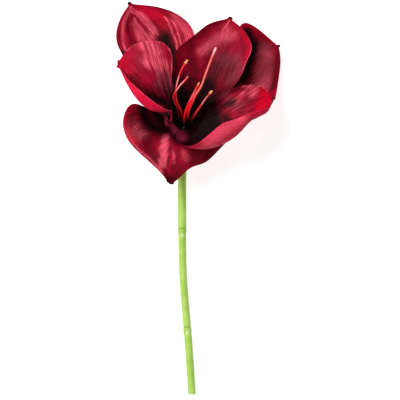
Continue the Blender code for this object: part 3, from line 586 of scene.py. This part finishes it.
def tepal_surface(spec, dressing, seed):
    """Middle surface of a tepal as rows from its start to its tip, in millimetres from the throat.

    Its spine runs through the claw's places and the midrib's points. Each row is two halves across
    the spine, and the relief moves it along its normals.
    """
    outer = spec["whorl"] == "outer"
    layers = OUTER_LAYERS if outer else (0.0,) * len(CLAW_HEIGHTS)
    wrap = OUTER_WRAP if outer else INNER_WRAP
    away = outward(spec["azimuth"])
    claw = [h * AXIS + (r + layer) * away for h, r, layer in zip(CLAW_HEIGHTS, CLAW_RADII, layers)]
    claw = claw[:spec.get("claw_steps", len(claw))]
    place, along, _ = route([*claw, *spec["midrib"]], TEPAL_ROWS)
    u = np.linspace(0, 1, TEPAL_ROWS)
    face = at_steps(unit(np.array([-away, *spec["faces"]])), u)
    face = unit(face - np.sum(face * along, 1, keepdims=True) * along)
    spine = place, along, np.cross(along, face), face, u
    blade_root = (CLAW_RADII[0] + layers[0]) * np.radians(wrap)
    left = half_tepal(spec["left"], -1, spine, blade_root, spec["tip"], wrap)
    right = half_tepal(spec["right"], 1, spine, blade_root, spec["tip"], wrap)
    grid = np.concatenate([left[:, ::-1], right[:, 1:]], 1)
    half = half_shares()
    across = np.concatenate([-half[::-1], half[1:]])
    relief = tepal_relief(spec, dressing, u, across, seed)
    return grid + relief[..., None] * grid_normals(grid), u, across


def leaf_thickness(u, across):
    """Thickness of a tepal: less towards the margin, more at the blunt tip, rounded off at the edge."""
    share = np.abs(across)[None, :]
    swell = 1 + TIP_SWELL * ramp(u, *SWELL_PLACES)[:, None]
    plain = TEPAL_THICKNESS * (1 - MARGIN_THINNING * share**2) * swell
    rim = np.clip((share - 1 + ROUND_RIM) / ROUND_RIM, 0, 1)
    ends = np.clip((np.abs(2 * u - 1) - 1 + ROUND_TIP) / ROUND_TIP, 0, 1)[:, None]
    return plain * np.sqrt(1 - rim**2) * np.sqrt(1 - ends**2)


def quads(index):
    """The four corners of each cell of a grid of point numbers."""
    return np.stack([index[:-1, :-1], index[:-1, 1:], index[1:, 1:], index[1:, :-1]], -1).reshape(-1, 4)


def closed_leaf(grid, thickness):
    """Points and quads of a closed leaf round a middle surface: its two faces share their border.

    The inner face is the middle surface plus half the thickness along its normals, and the outer
    face is the middle surface minus that.
    """
    rows, columns = grid.shape[:2]
    half = (thickness / 2)[..., None] * grid_normals(grid)
    inner = grid + half
    outer = (grid - half)[1:-1, 1:-1]
    points = np.concatenate([inner.reshape(-1, 3), outer.reshape(-1, 3)])
    top = np.arange(rows * columns).reshape(rows, columns)
    under = top.copy()
    under[1:-1, 1:-1] = np.arange(rows * columns, len(points)).reshape(outer.shape[:2])
    return points, np.concatenate([quads(top), quads(under)[:, ::-1]])


def wrinkle_wave(grid, centre, heading, spacing, reach):
    """Ripples from 0 to 1, with their crests along the heading.

    Half of 1 plus a sine of the distance across the crests, times two bell curves round the centre,
    one of the distance along them and one of the distance across.
    """
    turn = np.radians(heading)
    way = grid[..., :2] - np.array(centre)
    along = way @ (np.cos(turn), np.sin(turn))
    off = way @ (-np.sin(turn), np.cos(turn))
    ripple = 0.5 + 0.5 * np.sin(2 * np.pi * off / spacing)
    return ripple * bell(along, 0, reach[0]) * bell(off, 0, reach[1])


def on_both_faces(inner, outer=None):
    """A value for each point of the inner face, and the same or another for the outer face's own."""
    outer = inner if outer is None else outer
    return np.concatenate([inner.reshape(-1), outer[1:-1, 1:-1].reshape(-1)])


def add_piece(name, points, faces, look, uv, masks):
    """An object with this mesh, points in millimetres, its UV map and one number per point and mask."""
    mesh = bpy.data.meshes.new(name)
    faces = np.asarray(faces)
    corners = faces.shape[1]
    mesh.vertices.add(len(points))
    mesh.vertices.foreach_set("co", (np.asarray(points) * MM).astype(np.float32).ravel())
    mesh.loops.add(faces.size)
    mesh.loops.foreach_set("vertex_index", faces.astype(np.int32).ravel())
    mesh.polygons.add(len(faces))
    mesh.polygons.foreach_set("loop_start", np.arange(0, faces.size, corners, dtype=np.int32))
    mesh.update(calc_edges=True)
    mesh.validate()
    layer = mesh.uv_layers.new(name="lay")
    layer.data.foreach_set("uv", np.asarray(uv, np.float32)[faces.ravel()].ravel())
    for mask, values in masks.items():
        layer = mesh.attributes.new(mask, "FLOAT", "POINT")
        layer.data.foreach_set("value", np.asarray(values, np.float32))
    mesh.shade_smooth()
    mesh.materials.append(look)
    made = bpy.data.objects.new(name, mesh)
    bpy.context.scene.collection.objects.link(made)
    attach(made, "root")
    return made


# Materials

def feed(tree, socket, value):
    """Links the socket to another node's output, or sets it to a plain value."""
    if isinstance(value, bpy.types.NodeSocket):
        tree.links.new(value, socket)
    else:
        socket.default_value = value


def add_node(tree, kind, **values):
    """A node with its settings and its sockets given by name, with _ for a space."""
    made = tree.nodes.new(kind)
    for name, value in values.items():
        if hasattr(made, name):
            setattr(made, name, value)
        else:
            feed(tree, made.inputs[name.replace("_", " ")], value)
    return made


def math_node(tree, operation, *values):
    """A Math node's output."""
    made = add_node(tree, "ShaderNodeMath", operation=operation)
    for socket, value in zip(made.inputs, values):
        feed(tree, socket, value)
    return made.outputs[0]


def blend(tree, share, first, second, mode="MIX"):
    """A colour Mix node's output: the first colour, with the second one mixed in by the share."""
    made = add_node(tree, "ShaderNodeMix", data_type="RGBA", blend_type=mode)
    for number, value in ((0, share), (6, first), (7, second)):
        feed(tree, made.inputs[number], value)
    return made.outputs[2]


def spread(tree, value, low, high, out_low=0.0, out_high=1.0):
    """A Map Range node's output, smooth and clamped."""
    made = add_node(tree, "ShaderNodeMapRange", interpolation_type="SMOOTHSTEP", Value=value,
                    From_Min=low, From_Max=high, To_Min=out_low, To_Max=out_high)
    return made.outputs["Result"]


def noise(tree, vector, scale, detail=2.0, roughness=0.5):
    """A Noise Texture's value."""
    made = add_node(tree, "ShaderNodeTexNoise", Vector=vector, Scale=scale, Detail=detail,
                    Roughness=roughness)
    return made.outputs["Fac"]


def mask(tree, name):
    """A mask of the mesh, read by its name."""
    return add_node(tree, "ShaderNodeAttribute", attribute_name=name).outputs["Fac"]


def painted(tree, colour, **layers):
    """The colour after each layer's own colour is mixed in by the mask of the layer's name."""
    for name, paint in layers.items():
        colour = blend(tree, mask(tree, name), colour, paint)
    return colour


def new_material(name):
    """A material with its node tree, its Principled shader, and the object and UV coordinates."""
    made = bpy.data.materials.new(name)
    made.use_nodes = True
    tree = made.node_tree
    where = add_node(tree, "ShaderNodeTexCoord").outputs["Object"]
    lay = add_node(tree, "ShaderNodeUVMap", uv_map="lay").outputs["UV"]
    return made, tree, tree.nodes["Principled BSDF"], where, lay


def dress(tree, shader, colour, roughness, height, strength, distance):
    """Links the shader's colour and roughness, and a Bump node with this height to its normal."""
    bump = add_node(tree, "ShaderNodeBump", Strength=strength, Distance=distance, Height=height)
    feed(tree, shader.inputs["Base Color"], colour)
    feed(tree, shader.inputs["Roughness"], roughness)
    feed(tree, shader.inputs["Normal"], bump.outputs["Normal"])


FINER_FIBRES = (2.7, 1.6, 1.0)  # how much finer the second of the two noises is


def fibre_group():
    """Node group Fibres: uneven lines along the second axis of its vector, as a mask from 0 to 1.

    The mask is the mean of two noises, one finer than the other, on the vector times Across and
    Along, with its middle values spread out.
    """
    group = bpy.data.node_groups.new("Fibres", "ShaderNodeTree")
    group.interface.new_socket("Vector", in_out="INPUT", socket_type="NodeSocketVector")
    group.interface.new_socket("Across", in_out="INPUT", socket_type="NodeSocketFloat")
    group.interface.new_socket("Along", in_out="INPUT", socket_type="NodeSocketFloat")
    group.interface.new_socket("Lines", in_out="OUTPUT", socket_type="NodeSocketFloat")
    given = add_node(group, "NodeGroupInput").outputs
    split = add_node(group, "ShaderNodeSeparateXYZ", Vector=given["Vector"])
    x = math_node(group, "MULTIPLY", split.outputs["X"], given["Across"])
    y = math_node(group, "MULTIPLY", split.outputs["Y"], given["Along"])
    joined = add_node(group, "ShaderNodeCombineXYZ", X=x, Y=y).outputs["Vector"]
    finer = add_node(group, "ShaderNodeMapping", Vector=joined, Scale=FINER_FIBRES)
    coarse = noise(group, joined, scale=1.0, detail=1.0)
    fine = noise(group, finer.outputs["Vector"], scale=1.0, detail=2.0)
    both = math_node(group, "MULTIPLY_ADD", fine, 0.5, math_node(group, "MULTIPLY", coarse, 0.5))
    add_node(group, "NodeGroupOutput", Lines=spread(group, both, 0.36, 0.64))
    return group


FIBRES = fibre_group()


def fibres(tree, vector, across, along):
    """The Fibres group placed in a material."""
    made = add_node(tree, "ShaderNodeGroup", node_tree=FIBRES, Vector=vector, Across=across,
                    Along=along)
    return made.outputs["Lines"]


# Colours, linear
CRIMSON = (0.32, 0.003, 0.022, 1.0)
DARK_CRIMSON = (0.20, 0.002, 0.012, 1.0)
# Of these, dark is mostly painted shade, mauve a painted sheen and pale a painted highlight; deep is
# partly painted shade and bright partly painted light
PAINTS = {
    "deep": (0.085, 0.001, 0.006, 1.0),
    "bright": (0.56, 0.001, 0.018, 1.0),
    "mauve": (0.24, 0.034, 0.056, 1.0),
    "pale": (0.80, 0.098, 0.150, 1.0),
    "dark": (0.006, 0.0006, 0.0012, 1.0),
    "plum": (0.15, 0.009, 0.026, 1.0),
    "rose": (0.60, 0.050, 0.095, 1.0),
}
VEIN_RED = (0.10, 0.001, 0.006, 1.0)
OUTER_ROSE = (0.53, 0.007, 0.045, 1.0)
OUTER_DEEP = (0.40, 0.006, 0.030, 1.0)
TIP_DARK = (0.03, 0.002, 0.005, 1.0)


STREAK_SWING = 2.4  # how far a stroke's edge runs out in streaks
VEINS_SHOWN = 0.25  # how strongly the dark veins show in deep pigment
VEINS_SHOWN_MORE = 0.5  # and how much more they do under the painted sheen and highlights


def streaky(tree, share, lines, strength):
    """A mask whose edges run out in streaks, from the share of a stroke.

    It is share + STREAK_SWING * strength * (lines - 1/2) * share * (1 - share), clamped.
    """
    edge = math_node(tree, "MULTIPLY", share, math_node(tree, "SUBTRACT", 1.0, share))
    swing = math_node(tree, "MULTIPLY", math_node(tree, "SUBTRACT", lines, 0.5), edge)
    most = math_node(tree, "MULTIPLY", strength, STREAK_SWING)
    swung = math_node(tree, "ADD", share, math_node(tree, "MULTIPLY", swing, most))
    return add_node(tree, "ShaderNodeClamp", Value=swung).outputs["Result"]


def petal_material():
    """Tepal skin: crimson, with strokes of paint by mask, which hold painted shade, sheen and
    highlights too, and dark veins that show more under the painted sheen and highlights.

    The outer face is rosier than the inner one. The edges of the deep, bright, mauve, pale and dark
    strokes run out in streaks, and those of the plum and rose ones don't.
    """
    made, tree, shader, where, lay = new_material("petal")
    lines = fibres(tree, lay, across=74.0, along=4.5)
    light_lines = math_node(tree, "SUBTRACT", 1.0, lines)
    blotches = noise(tree, where, scale=60.0, detail=3.0, roughness=0.6)
    grain = noise(tree, where, scale=900.0, roughness=0.6)
    streaks = mask(tree, "streaks")
    skin = blend(tree, spread(tree, blotches, 0.35, 0.7), DARK_CRIMSON, CRIMSON)
    back = blend(tree, spread(tree, blotches, 0.3, 0.75), OUTER_DEEP, OUTER_ROSE)
    colour = blend(tree, mask(tree, "inner"), back, skin)
    # deep strokes are partly painted shade, bright ones partly painted light, mauve ones a painted
    # sheen and pale ones painted highlights
    for kind in ("deep", "bright", "mauve", "pale"):
        which = lines if kind == "deep" else light_lines
        colour = blend(tree, streaky(tree, mask(tree, kind), which, streaks), colour, PAINTS[kind])
    # where mauve paints a sheen and pale a highlight, the dark veins show more
    sheen_and_highlight = math_node(tree, "MAXIMUM", mask(tree, "mauve"), mask(tree, "pale"))
    shown = math_node(tree, "MULTIPLY_ADD", sheen_and_highlight, VEINS_SHOWN_MORE, VEINS_SHOWN)
    veined = math_node(tree, "MULTIPLY", streaks, math_node(tree, "MULTIPLY", shown, lines))
    colour = blend(tree, veined, colour, VEIN_RED)
    speckle = spread(tree, grain, 0.3, 0.7, 0.72, 1.28)
    colour = blend(tree, 1.0, colour, speckle, "MULTIPLY")
    # the dark strokes, mostly painted shade, and the throat's painted shade turn black
    colour = blend(tree, streaky(tree, mask(tree, "dark"), lines, streaks), colour, PAINTS["dark"])
    colour = painted(tree, colour, plum=PAINTS["plum"], rose=PAINTS["rose"], nub=TIP_DARK)
    shader.inputs["Specular IOR Level"].default_value = 0.03
    roughness = spread(tree, lines, 0.0, 1.0, 0.42, 0.56)
    height = math_node(tree, "MULTIPLY_ADD", grain, 0.35, lines)
    dress(tree, shader, colour, roughness, height, strength=0.5, distance=0.0003)
    return made


LEAF_GREEN = (0.30, 0.50, 0.055, 1.0)
LIGHT_GREEN = (0.43, 0.62, 0.13, 1.0)
DEEP_GREEN = (0.17, 0.33, 0.035, 1.0)
PITH = (0.70, 0.80, 0.42, 1.0)
BLUSH = (0.30, 0.012, 0.030, 1.0)


def stem_material():
    """Scape skin: light green blotches and long fibres, with its marks by mask.

    The marks are the darker grooves, the pale spots by the rings, the cut end's pith, the red where
    the ovary meets the tepals, and the painted shade that turns the throat's floor black.
    """
    made, tree, shader, where, lay = new_material("stem")
    lines = fibres(tree, lay, across=30.0, along=9.0)
    blotches = noise(tree, where, scale=45.0, detail=3.0, roughness=0.6)
    grain = noise(tree, where, scale=1200.0, roughness=0.6)
    skin = blend(tree, spread(tree, blotches, 0.3, 0.7), LEAF_GREEN, LIGHT_GREEN)
    skin = blend(tree, math_node(tree, "MULTIPLY", lines, 0.3), skin, DEEP_GREEN)
    # dark is painted shade on the throat's floor
    skin = painted(tree, skin, groove=DEEP_GREEN, spot=PITH, pith=PITH, blush=BLUSH,
                   dark=PAINTS["dark"])
    shader.inputs["Specular IOR Level"].default_value = 0.4
    roughness = spread(tree, lines, 0.0, 1.0, 0.38, 0.52)
    height = math_node(tree, "MULTIPLY_ADD", grain, 0.3, lines)
    dress(tree, shader, skin, roughness, height, strength=0.35, distance=0.0003)
    return made


FILAMENT_RED = (0.92, 0.008, 0.012, 1.0)
FILAMENT_DEEP = (0.30, 0.004, 0.010, 1.0)
FILAMENT_PINK = (0.86, 0.30, 0.28, 1.0)
STYLE_PALE = (0.80, 0.42, 0.36, 1.0)


def filament_material():
    """Skin of the filaments and the style: clear red, its tints by mask, the deep one painted shade,
    and faint long fibres.
    """
    made, tree, shader, where, lay = new_material("filament")
    lines = fibres(tree, lay, across=8.0, along=12.0)
    grain = noise(tree, where, scale=1800.0, roughness=0.6)
    skin = blend(tree, math_node(tree, "MULTIPLY", lines, 0.3), FILAMENT_RED, FILAMENT_DEEP)
    # deep is painted shade, black
    skin = painted(tree, skin, pink=FILAMENT_PINK, pale=STYLE_PALE, deep=PAINTS["dark"])
    shader.inputs["Coat Weight"].default_value = 0.15
    shader.inputs["Coat Roughness"].default_value = 0.25
    roughness = spread(tree, lines, 0.0, 1.0, 0.28, 0.42)
    height = math_node(tree, "MULTIPLY_ADD", grain, 0.3, lines)
    dress(tree, shader, skin, roughness, height, strength=0.3, distance=0.0002)
    return made


POLLEN_YELLOW = (0.90, 0.40, 0.07, 1.0)
POLLEN_PALE = (0.95, 0.64, 0.30, 1.0)
ANTHER_RED = (0.50, 0.04, 0.02, 1.0)


def anther_material():
    """Anther skin: orange-yellow or pink, grainy with pollen, and red by mask."""
    made, tree, shader, where, _ = new_material("anther")
    grain = noise(tree, where, scale=2600.0, roughness=0.6)
    skin = blend(tree, spread(tree, grain, 0.35, 0.65), POLLEN_YELLOW, POLLEN_PALE)
    skin = painted(tree, skin, pink=FILAMENT_PINK, groove=ANTHER_RED)
    roughness = spread(tree, grain, 0.3, 0.7, 0.55, 0.8)
    dress(tree, shader, skin, roughness, grain, strength=0.7, distance=0.0003)
    return made


# Pieces

def stroke_mask(stroke, grid, u, across):
    """A stroke's share at each point: its strength * exp(-(distance to its line / its reach)^power)."""
    _, reach, strength, *places = stroke
    places = np.array(places)
    steps = np.linspace(0, len(places) - 1, STROKE_STEPS * (len(places) - 1) + 1)
    sideways, lengthways = (np.interp(steps, np.arange(len(places)), places[:, k]) for k in range(2))
    columns = np.interp(sideways, across, np.arange(len(across))).round().astype(int)
    rows = np.interp(lengthways, u, np.arange(len(u))).round().astype(int)
    nearest = np.full(grid.shape[:2], np.inf)
    for point in grid[rows, columns]:
        nearest = np.minimum(nearest, np.sum((grid - point) ** 2, axis=2))
    return strength * np.exp(-(nearest / reach**2) ** (STROKE_POWER / 2))


def paint_masks(strokes, grid, u, across):
    """The mask of each kind of paint: what is left bare shrinks with each stroke that crosses it."""
    masks = {kind: np.zeros(grid.shape[:2]) for kind in KINDS_OF_PAINT}
    for stroke in strokes:
        bare = (1 - masks[stroke[0]]) * (1 - stroke_mask(stroke, grid, u, across))
        masks[stroke[0]] = 1 - bare
    return masks


def vein_shares(grid, across, rays):
    """The vein on which each point lies, as a share from 0 to 1, which the UV map's first axis holds.

    Veins run along the tepal, at an even share across, or as rays: then the share is the angle, seen
    from above, between the way from the start to the point and the way from the start to the tip.
    """
    if not rays:
        return np.broadcast_to(across / 2 + 0.5, grid.shape[:2])
    start, tip = grid[0].mean(0), grid[-1].mean(0)
    way = grid[..., :2] - start[:2]
    axis = (tip - start)[:2]
    turned = way[..., 0] * axis[1] - way[..., 1] * axis[0]
    return 0.5 + np.arctan2(turned, way @ axis) / RAY_SPREAD


def tepal_masks(name, grid, u, across, wave):
    """The masks of a tepal's colour on both of its faces, with painted highlights on the wrinkles'
    crests and painted shade in the throat.
    """
    dressing = DRESSING[name]
    inner = paint_masks(PAINT[name], grid, u, across)
    outer = paint_masks(BACK_PAINT.get(name, ()), grid, u, across)
    # painted highlight on the wrinkles' crests
    inner["pale"] = np.maximum(inner["pale"], CREST_HIGHLIGHT * wave)
    # painted shade: black in the throat, fading out along the tepal
    inner["dark"] = np.maximum(inner["dark"], 1 - ramp(u, *dressing["throat"])[:, None])
    masks = {kind: on_both_faces(inner[kind], outer[kind]) for kind in KINDS_OF_PAINT}
    whole = np.ones(grid.shape[:2])
    masks["nub"] = on_both_faces(ramp(u, *NUB_PLACES)[:, None] * whole)
    masks["streaks"] = on_both_faces(dressing["streaks"] * whole, BACK_STREAKS * whole)
    masks["inner"] = on_both_faces(whole, 0 * whole)
    return masks


def add_tepals(look):
    """The six tepals. What would reach below the table is pressed flat on it."""
    for seed, (name, spec) in enumerate(TEPALS.items()):
        dressing = DRESSING[name]
        grid, u, across = tepal_surface(spec, dressing, seed)
        thickness = leaf_thickness(u, across)
        wave = np.zeros(grid.shape[:2])
        if "wrinkles" in dressing:
            wave = wrinkle_wave(grid, **dressing["wrinkles"])
            grid = grid + WRINKLE_HEIGHT * wave[..., None] * grid_normals(grid)
        points, faces = closed_leaf(grid, thickness)
        points += THROAT
        lowest = on_both_faces(PRESSED_SHARE * thickness, 0 * thickness)
        points[:, 2] = np.maximum(points[:, 2], lowest)
        shares = vein_shares(grid, across, dressing.get("rays"))
        places = np.broadcast_to(u[:, None], grid.shape[:2])
        uv = np.stack([on_both_faces(shares), on_both_faces(places)], 1)
        masks = tepal_masks(name, grid, u, across, wave)
        made = add_piece(name + "_tepal", points, faces, look, uv, masks)
        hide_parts(name)


def tube(place, along, radii, sides, up):
    """Grid of points round a line, rows along it and columns round it, starting at the direction up.

    A point lies its row's radius away from the line. The radii are one number a row, or a grid.
    """
    right = unit(np.cross(along, up))
    top = np.cross(right, along)
    turn = np.linspace(0, 2 * np.pi, sides, endpoint=False)
    ring = np.sin(turn)[None, :, None] * right[:, None] + np.cos(turn)[None, :, None] * top[:, None]
    radii = np.asarray(radii, float)
    if radii.ndim == 1:
        radii = np.repeat(radii[:, None], sides, 1)
    return place[:, None] + radii[..., None] * ring


def closed_tube(grid):
    """Points and quads of a tube closed by its first and last rows, which hold one repeated place."""
    rows, sides = grid.shape[:2]
    index = np.arange(rows * sides).reshape(rows, sides)
    index[0] = index[0, 0]
    index[-1] = index[-1, 0]
    around = np.concatenate([index, index[:, :1]], 1)
    return grid.reshape(-1, 3), quads(around)


def tube_uv(rows, sides):
    """Share round and share along, for each point of a tube."""
    share, place = np.meshgrid(np.arange(sides) / sides, np.linspace(0, 1, rows))
    return np.stack([share.ravel(), place.ravel()], 1)


def stem_radii(distances):
    """The stem's radius at each distance from its cut end.

    It goes over to a wider one at the upper ring. Each ring adds a flat-topped bell curve, and the
    groove above it takes a narrow bell curve away.
    """
    upper = RING_PLACES[1]
    above = ramp(distances, upper - THICKENING_REACH, upper + THICKENING_REACH)
    radii = STEM_RADIUS + UPPER_THICKENING * above
    for ring in RING_PLACES:
        radii += RING_RISE * np.exp(-((distances - ring) / (RING_LENGTH / 2)) ** 4)
        radii -= GROOVE_DEPTH * bell(distances, ring + GROOVE_STEP, GROOVE_WIDTH)
    return radii


def stem_rows():
    """The place, direction and radius of each of the stem's rows, from the cut end's middle on.

    The scape's rows bend into the bloom's axis. On that axis the ovary's and the floor's radii are
    read at even heights, and a last row of no radius closes the floor.
    """
    place, along, length = route([*STEM_ROUTE, THROAT + OVARY_HEIGHTS[0] * AXIS], STEM_ROWS)
    along[-1] = AXIS
    radii = stem_radii(np.linspace(0, length, STEM_ROWS))
    cut = np.array(CUT_PROFILE) * (CUT_DEPTH, radii[0])
    heights = np.concatenate([OVARY_HEIGHTS, FLOOR_HEIGHTS[1:]])
    wide = np.concatenate([OVARY_RADII, FLOOR_RADII[1:]])
    finer = np.linspace(heights[0], heights[-1], OVARY_ROWS)[1:]
    top = np.append(finer, heights[-1])
    places = [place[0] + cut[:, :1] * along[0], place, THROAT + top[:, None] * AXIS]
    directions = [np.tile(along[0], (len(cut), 1)), along, np.tile(AXIS, (len(top), 1))]
    widths = [cut[:, 1], radii, np.interp(finer, heights, wide), [0.0]]
    return np.concatenate(places), np.concatenate(directions), np.concatenate(widths)


def stem_masks(place):
    """The masks of the stem's marks, from the distance along it, the height and the angle round."""
    reached = (travelled(place) - CUT_DEPTH)[:, None]
    height = ((place - THROAT) @ AXIS)[:, None]
    turns = np.linspace(0, 360, STEM_SIDES, endpoint=False)
    on_top = SPOT_SHARE * bell(np.minimum(turns, 360 - turns), 0, SPOT_ANGLE)
    masks = {
        "pith": np.arange(len(place))[:, None] < len(CUT_PROFILE),
        "blush": BLUSH_SHARE * ramp(height, *BLUSH_REACH),
        # painted shade: the throat's floor turns black
        "dark": ramp(height, *FLOOR_DARK),
        "spot": sum(bell(reached, spot, SPOT_LENGTH) * on_top for spot in SPOT_PLACES),
        "groove": sum(bell(reached, ring + GROOVE_STEP, GROOVE_SHADE) for ring in RING_PLACES),
    }
    whole = np.ones((len(place), STEM_SIDES))
    return {kind: (values * whole).ravel() for kind, values in masks.items()}


def add_stem(look):
    """The scape with its sunken cut end, the bend into the bloom's axis, the ovary and the floor."""
    place, along, radii = stem_rows()
    grid = tube(place, along, radii, STEM_SIDES, SKYWARD)
    grid[..., 2] = np.maximum(grid[..., 2], 0.0)
    points, faces = closed_tube(grid)
    uv = tube_uv(len(place), STEM_SIDES)
    made = add_piece("scape", points, faces, look, uv, stem_masks(place))
    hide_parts("stem")


def add_collar(look):
    """The small collar that the filaments grow from: a closed profile carried round the axis."""
    low, high = COLLAR_HEIGHTS
    hole, rim = COLLAR_RADII
    corners = [(low, hole), (low, rim), (high, rim), (high, hole), (low, hole)]
    rows = len(corners)
    turn = np.linspace(0, 2 * np.pi, COLLAR_SIDES, endpoint=False)
    ring = np.cos(turn)[:, None] * ACROSS + np.sin(turn)[:, None] * UPWARD
    grid = np.array([THROAT + height * AXIS + radius * ring for height, radius in corners])
    index = np.arange(rows * COLLAR_SIDES).reshape(rows, COLLAR_SIDES)
    index[-1] = index[0]
    around = np.concatenate([index, index[:, :1]], 1)
    uv = tube_uv(rows, COLLAR_SIDES) * (1, 0)
    # the whole collar gets the deep tint: painted shade, black, in the throat
    masks = {kind: np.full(len(uv), kind == "deep", float) for kind in KINDS_OF_TINT}
    return add_piece("stamen_collar", grid.reshape(-1, 3), quads(around)[:, ::-1], look, uv, masks)


def add_stamens(filament_look, anther_look):
    """Four filaments on a small collar, each with its anther, as pieces of their own."""
    pieces = [add_collar(filament_look)]
    for number, spec in enumerate(FILAMENTS, 1):
        root = np.mean(COLLAR_HEIGHTS) * AXIS + FILAMENT_ROOT_RADIUS * outward(spec["azimuth"])
        place, along, length = route([root, *spec["line"]], STRAND_ROWS)
        radii = at_steps(spec["radii"], np.linspace(0, 1, STRAND_ROWS))
        end = int(STRAND_ROWS * (1 - FILAMENT_OVERLAP * spec["anther"][0] / length))
        pieces.append(add_strand(f"filament_{number}", place[:end], along[:end], radii[:end],
                                 spec["tints"], filament_look))
        pieces.append(add_anther(number, place, along, length, spec["anther"], anther_look))
    for made in pieces:
        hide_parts("stamens")


def strand_masks(tints, share):
    """The masks of each kind of tint along a strand: sums of flat-topped bell curves, at most 1."""
    masks = {kind: np.zeros(len(share)) for kind in KINDS_OF_TINT}
    for kind, centre, reach, strength in tints:
        masks[kind] += strength * np.exp(-((share - centre) / reach) ** 4)
    return {kind: np.minimum(values, 1) for kind, values in masks.items()}


def add_strand(name, place, along, radii, tints, look):
    """A tube along a line from the throat, closed by a round end, with its tints as masks."""
    rows = len(place)
    share = np.linspace(0, 1, rows)
    from_end = travelled(place)[-1] - travelled(place)
    radii = radii * np.sqrt(1 - np.clip(1 - from_end / radii, 0, 1) ** 2)
    radii[0] = 0
    points, faces = closed_tube(tube(place + THROAT, along, radii, STRAND_SIDES, UPWARD))
    masks = strand_masks(tints, share)
    masks = {kind: np.repeat(values, STRAND_SIDES) for kind, values in masks.items()}
    return add_piece(name, points, faces, look, tube_uv(rows, STRAND_SIDES), masks)


def add_anther(number, place, along, length, size, look):
    """An anther: an oval body on the end of its filament, with a groove along its top, red below.

    Its radius is half an oval's, blunted by a power, slimmer in its upper half, less the groove's
    bell curve round the top.
    """
    long, wide = size
    rows = int(len(place) * long / length)
    share = np.linspace(0, 1, rows)
    turn = np.linspace(0, 2 * np.pi, STRAND_SIDES, endpoint=False)
    angle, depth = ANTHER_GROOVE
    groove = bell(np.minimum(turn, 2 * np.pi - turn), 0, angle)[None, :]
    outline = np.sqrt(np.clip(1 - (2 * share - 1) ** 2, 0, 1))[:, None] ** ANTHER_BLUNTNESS
    upper = ramp(share, *ANTHER_RED_END)[:, None]
    radii = wide * outline * (1 - ANTHER_SLIMMING * upper) * (1 - depth * groove)
    grid = tube(place[-rows:] + THROAT, along[-rows:], radii, STRAND_SIDES, SKYWARD)
    points, faces = closed_tube(grid)
    pink = np.full(rows * STRAND_SIDES, float(number in PINK_ANTHERS))
    masks = {"groove": np.maximum(groove, 1 - upper).ravel(), "pink": pink}
    return add_piece(f"anther_{number}", points, faces, look, tube_uv(rows, STRAND_SIDES), masks)


def add_style(look):
    """The style, ending in a slim stigma."""
    place, along, length = route(STYLE_LINE, STRAND_ROWS)
    share = np.linspace(0, 1, STRAND_ROWS)
    long, wide = STIGMA
    oval = np.sqrt(np.clip(1 - (2 * length * (1 - share) / long - 1) ** 2, 0, 1))
    radii = np.maximum(at_steps(STYLE_RADII, share), wide * oval)
    made = add_strand("style", place, along, radii, STYLE_TINTS, look)
    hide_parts("pistil")


# The table, the light and the camera

def add_table():
    """A white table top, with the faintest unevenness in its colour."""
    look, tree, shader, where, _ = new_material("table")
    shade = spread(tree, noise(tree, where, scale=4.0), 0.3, 0.7)
    feed(tree, shader.inputs["Base Color"], blend(tree, shade, *TABLE_GREYS))
    shader.inputs["Roughness"].default_value = 0.8
    shader.inputs["Specular IOR Level"].default_value = 0.1
    shader.inputs["Emission Color"].default_value = (1, 1, 1, 1)
    shader.inputs["Emission Strength"].default_value = TABLE_GLOW
    mesh = bpy.data.meshes.new("table")
    corners = [(x * TABLE_HALF, y * TABLE_HALF, TABLE_LEVEL)
               for x, y in ((-1, -1), (1, -1), (1, 1), (-1, 1))]
    mesh.from_pydata(corners, [], [(0, 1, 2, 3)])
    mesh.materials.append(look)
    table = bpy.data.objects.new("table", mesh)
    bpy.context.scene.collection.objects.link(table)


def add_light(name, place, target, size, power):
    """A square area light at a place in metres, turned to the target."""
    lamp = bpy.data.lights.new(name, "AREA")
    lamp.size = size
    lamp.energy = power
    made = bpy.data.objects.new(name, lamp)
    made.location = place
    made.rotation_euler = (Vector(target) - Vector(place)).to_track_quat("-Z", "Y").to_euler()
    bpy.context.scene.collection.objects.link(made)


def add_studio():
    """A white surround, a large soft key light from the upper left and a weak fill."""
    world = bpy.data.worlds.new("surround")
    world.use_nodes = True
    surround = world.node_tree.nodes["Background"]
    surround.inputs["Color"].default_value = (1, 1, 1, 1)
    surround.inputs["Strength"].default_value = SURROUND_LIGHT
    bpy.context.scene.world = world
    add_light("key", **KEY_LIGHT)
    add_light("fill", **FILL_LIGHT)
    bpy.context.scene.view_settings.view_transform = "Standard"


def add_camera():
    """The camera, straight above the picture's centre with a very long lens."""
    data = bpy.data.cameras.new("camera")
    data.sensor_width = 36.0
    data.lens = data.sensor_width * (CAMERA_HEIGHT - SHARP_HEIGHT) / PICTURE_WIDTH
    data.clip_start = 1.0
    data.clip_end = 100.0
    made = bpy.data.objects.new("camera", data)
    made.location = (PICTURE_CENTRE[0] * MM, PICTURE_CENTRE[1] * MM, CAMERA_HEIGHT * MM)
    bpy.context.scene.collection.objects.link(made)
    bpy.context.scene.camera = made


add_tepals(petal_material())
add_stem(stem_material())
strand_look = filament_material()
add_stamens(strand_look, anther_material())
add_style(strand_look)
add_table()
add_studio()
add_camera()
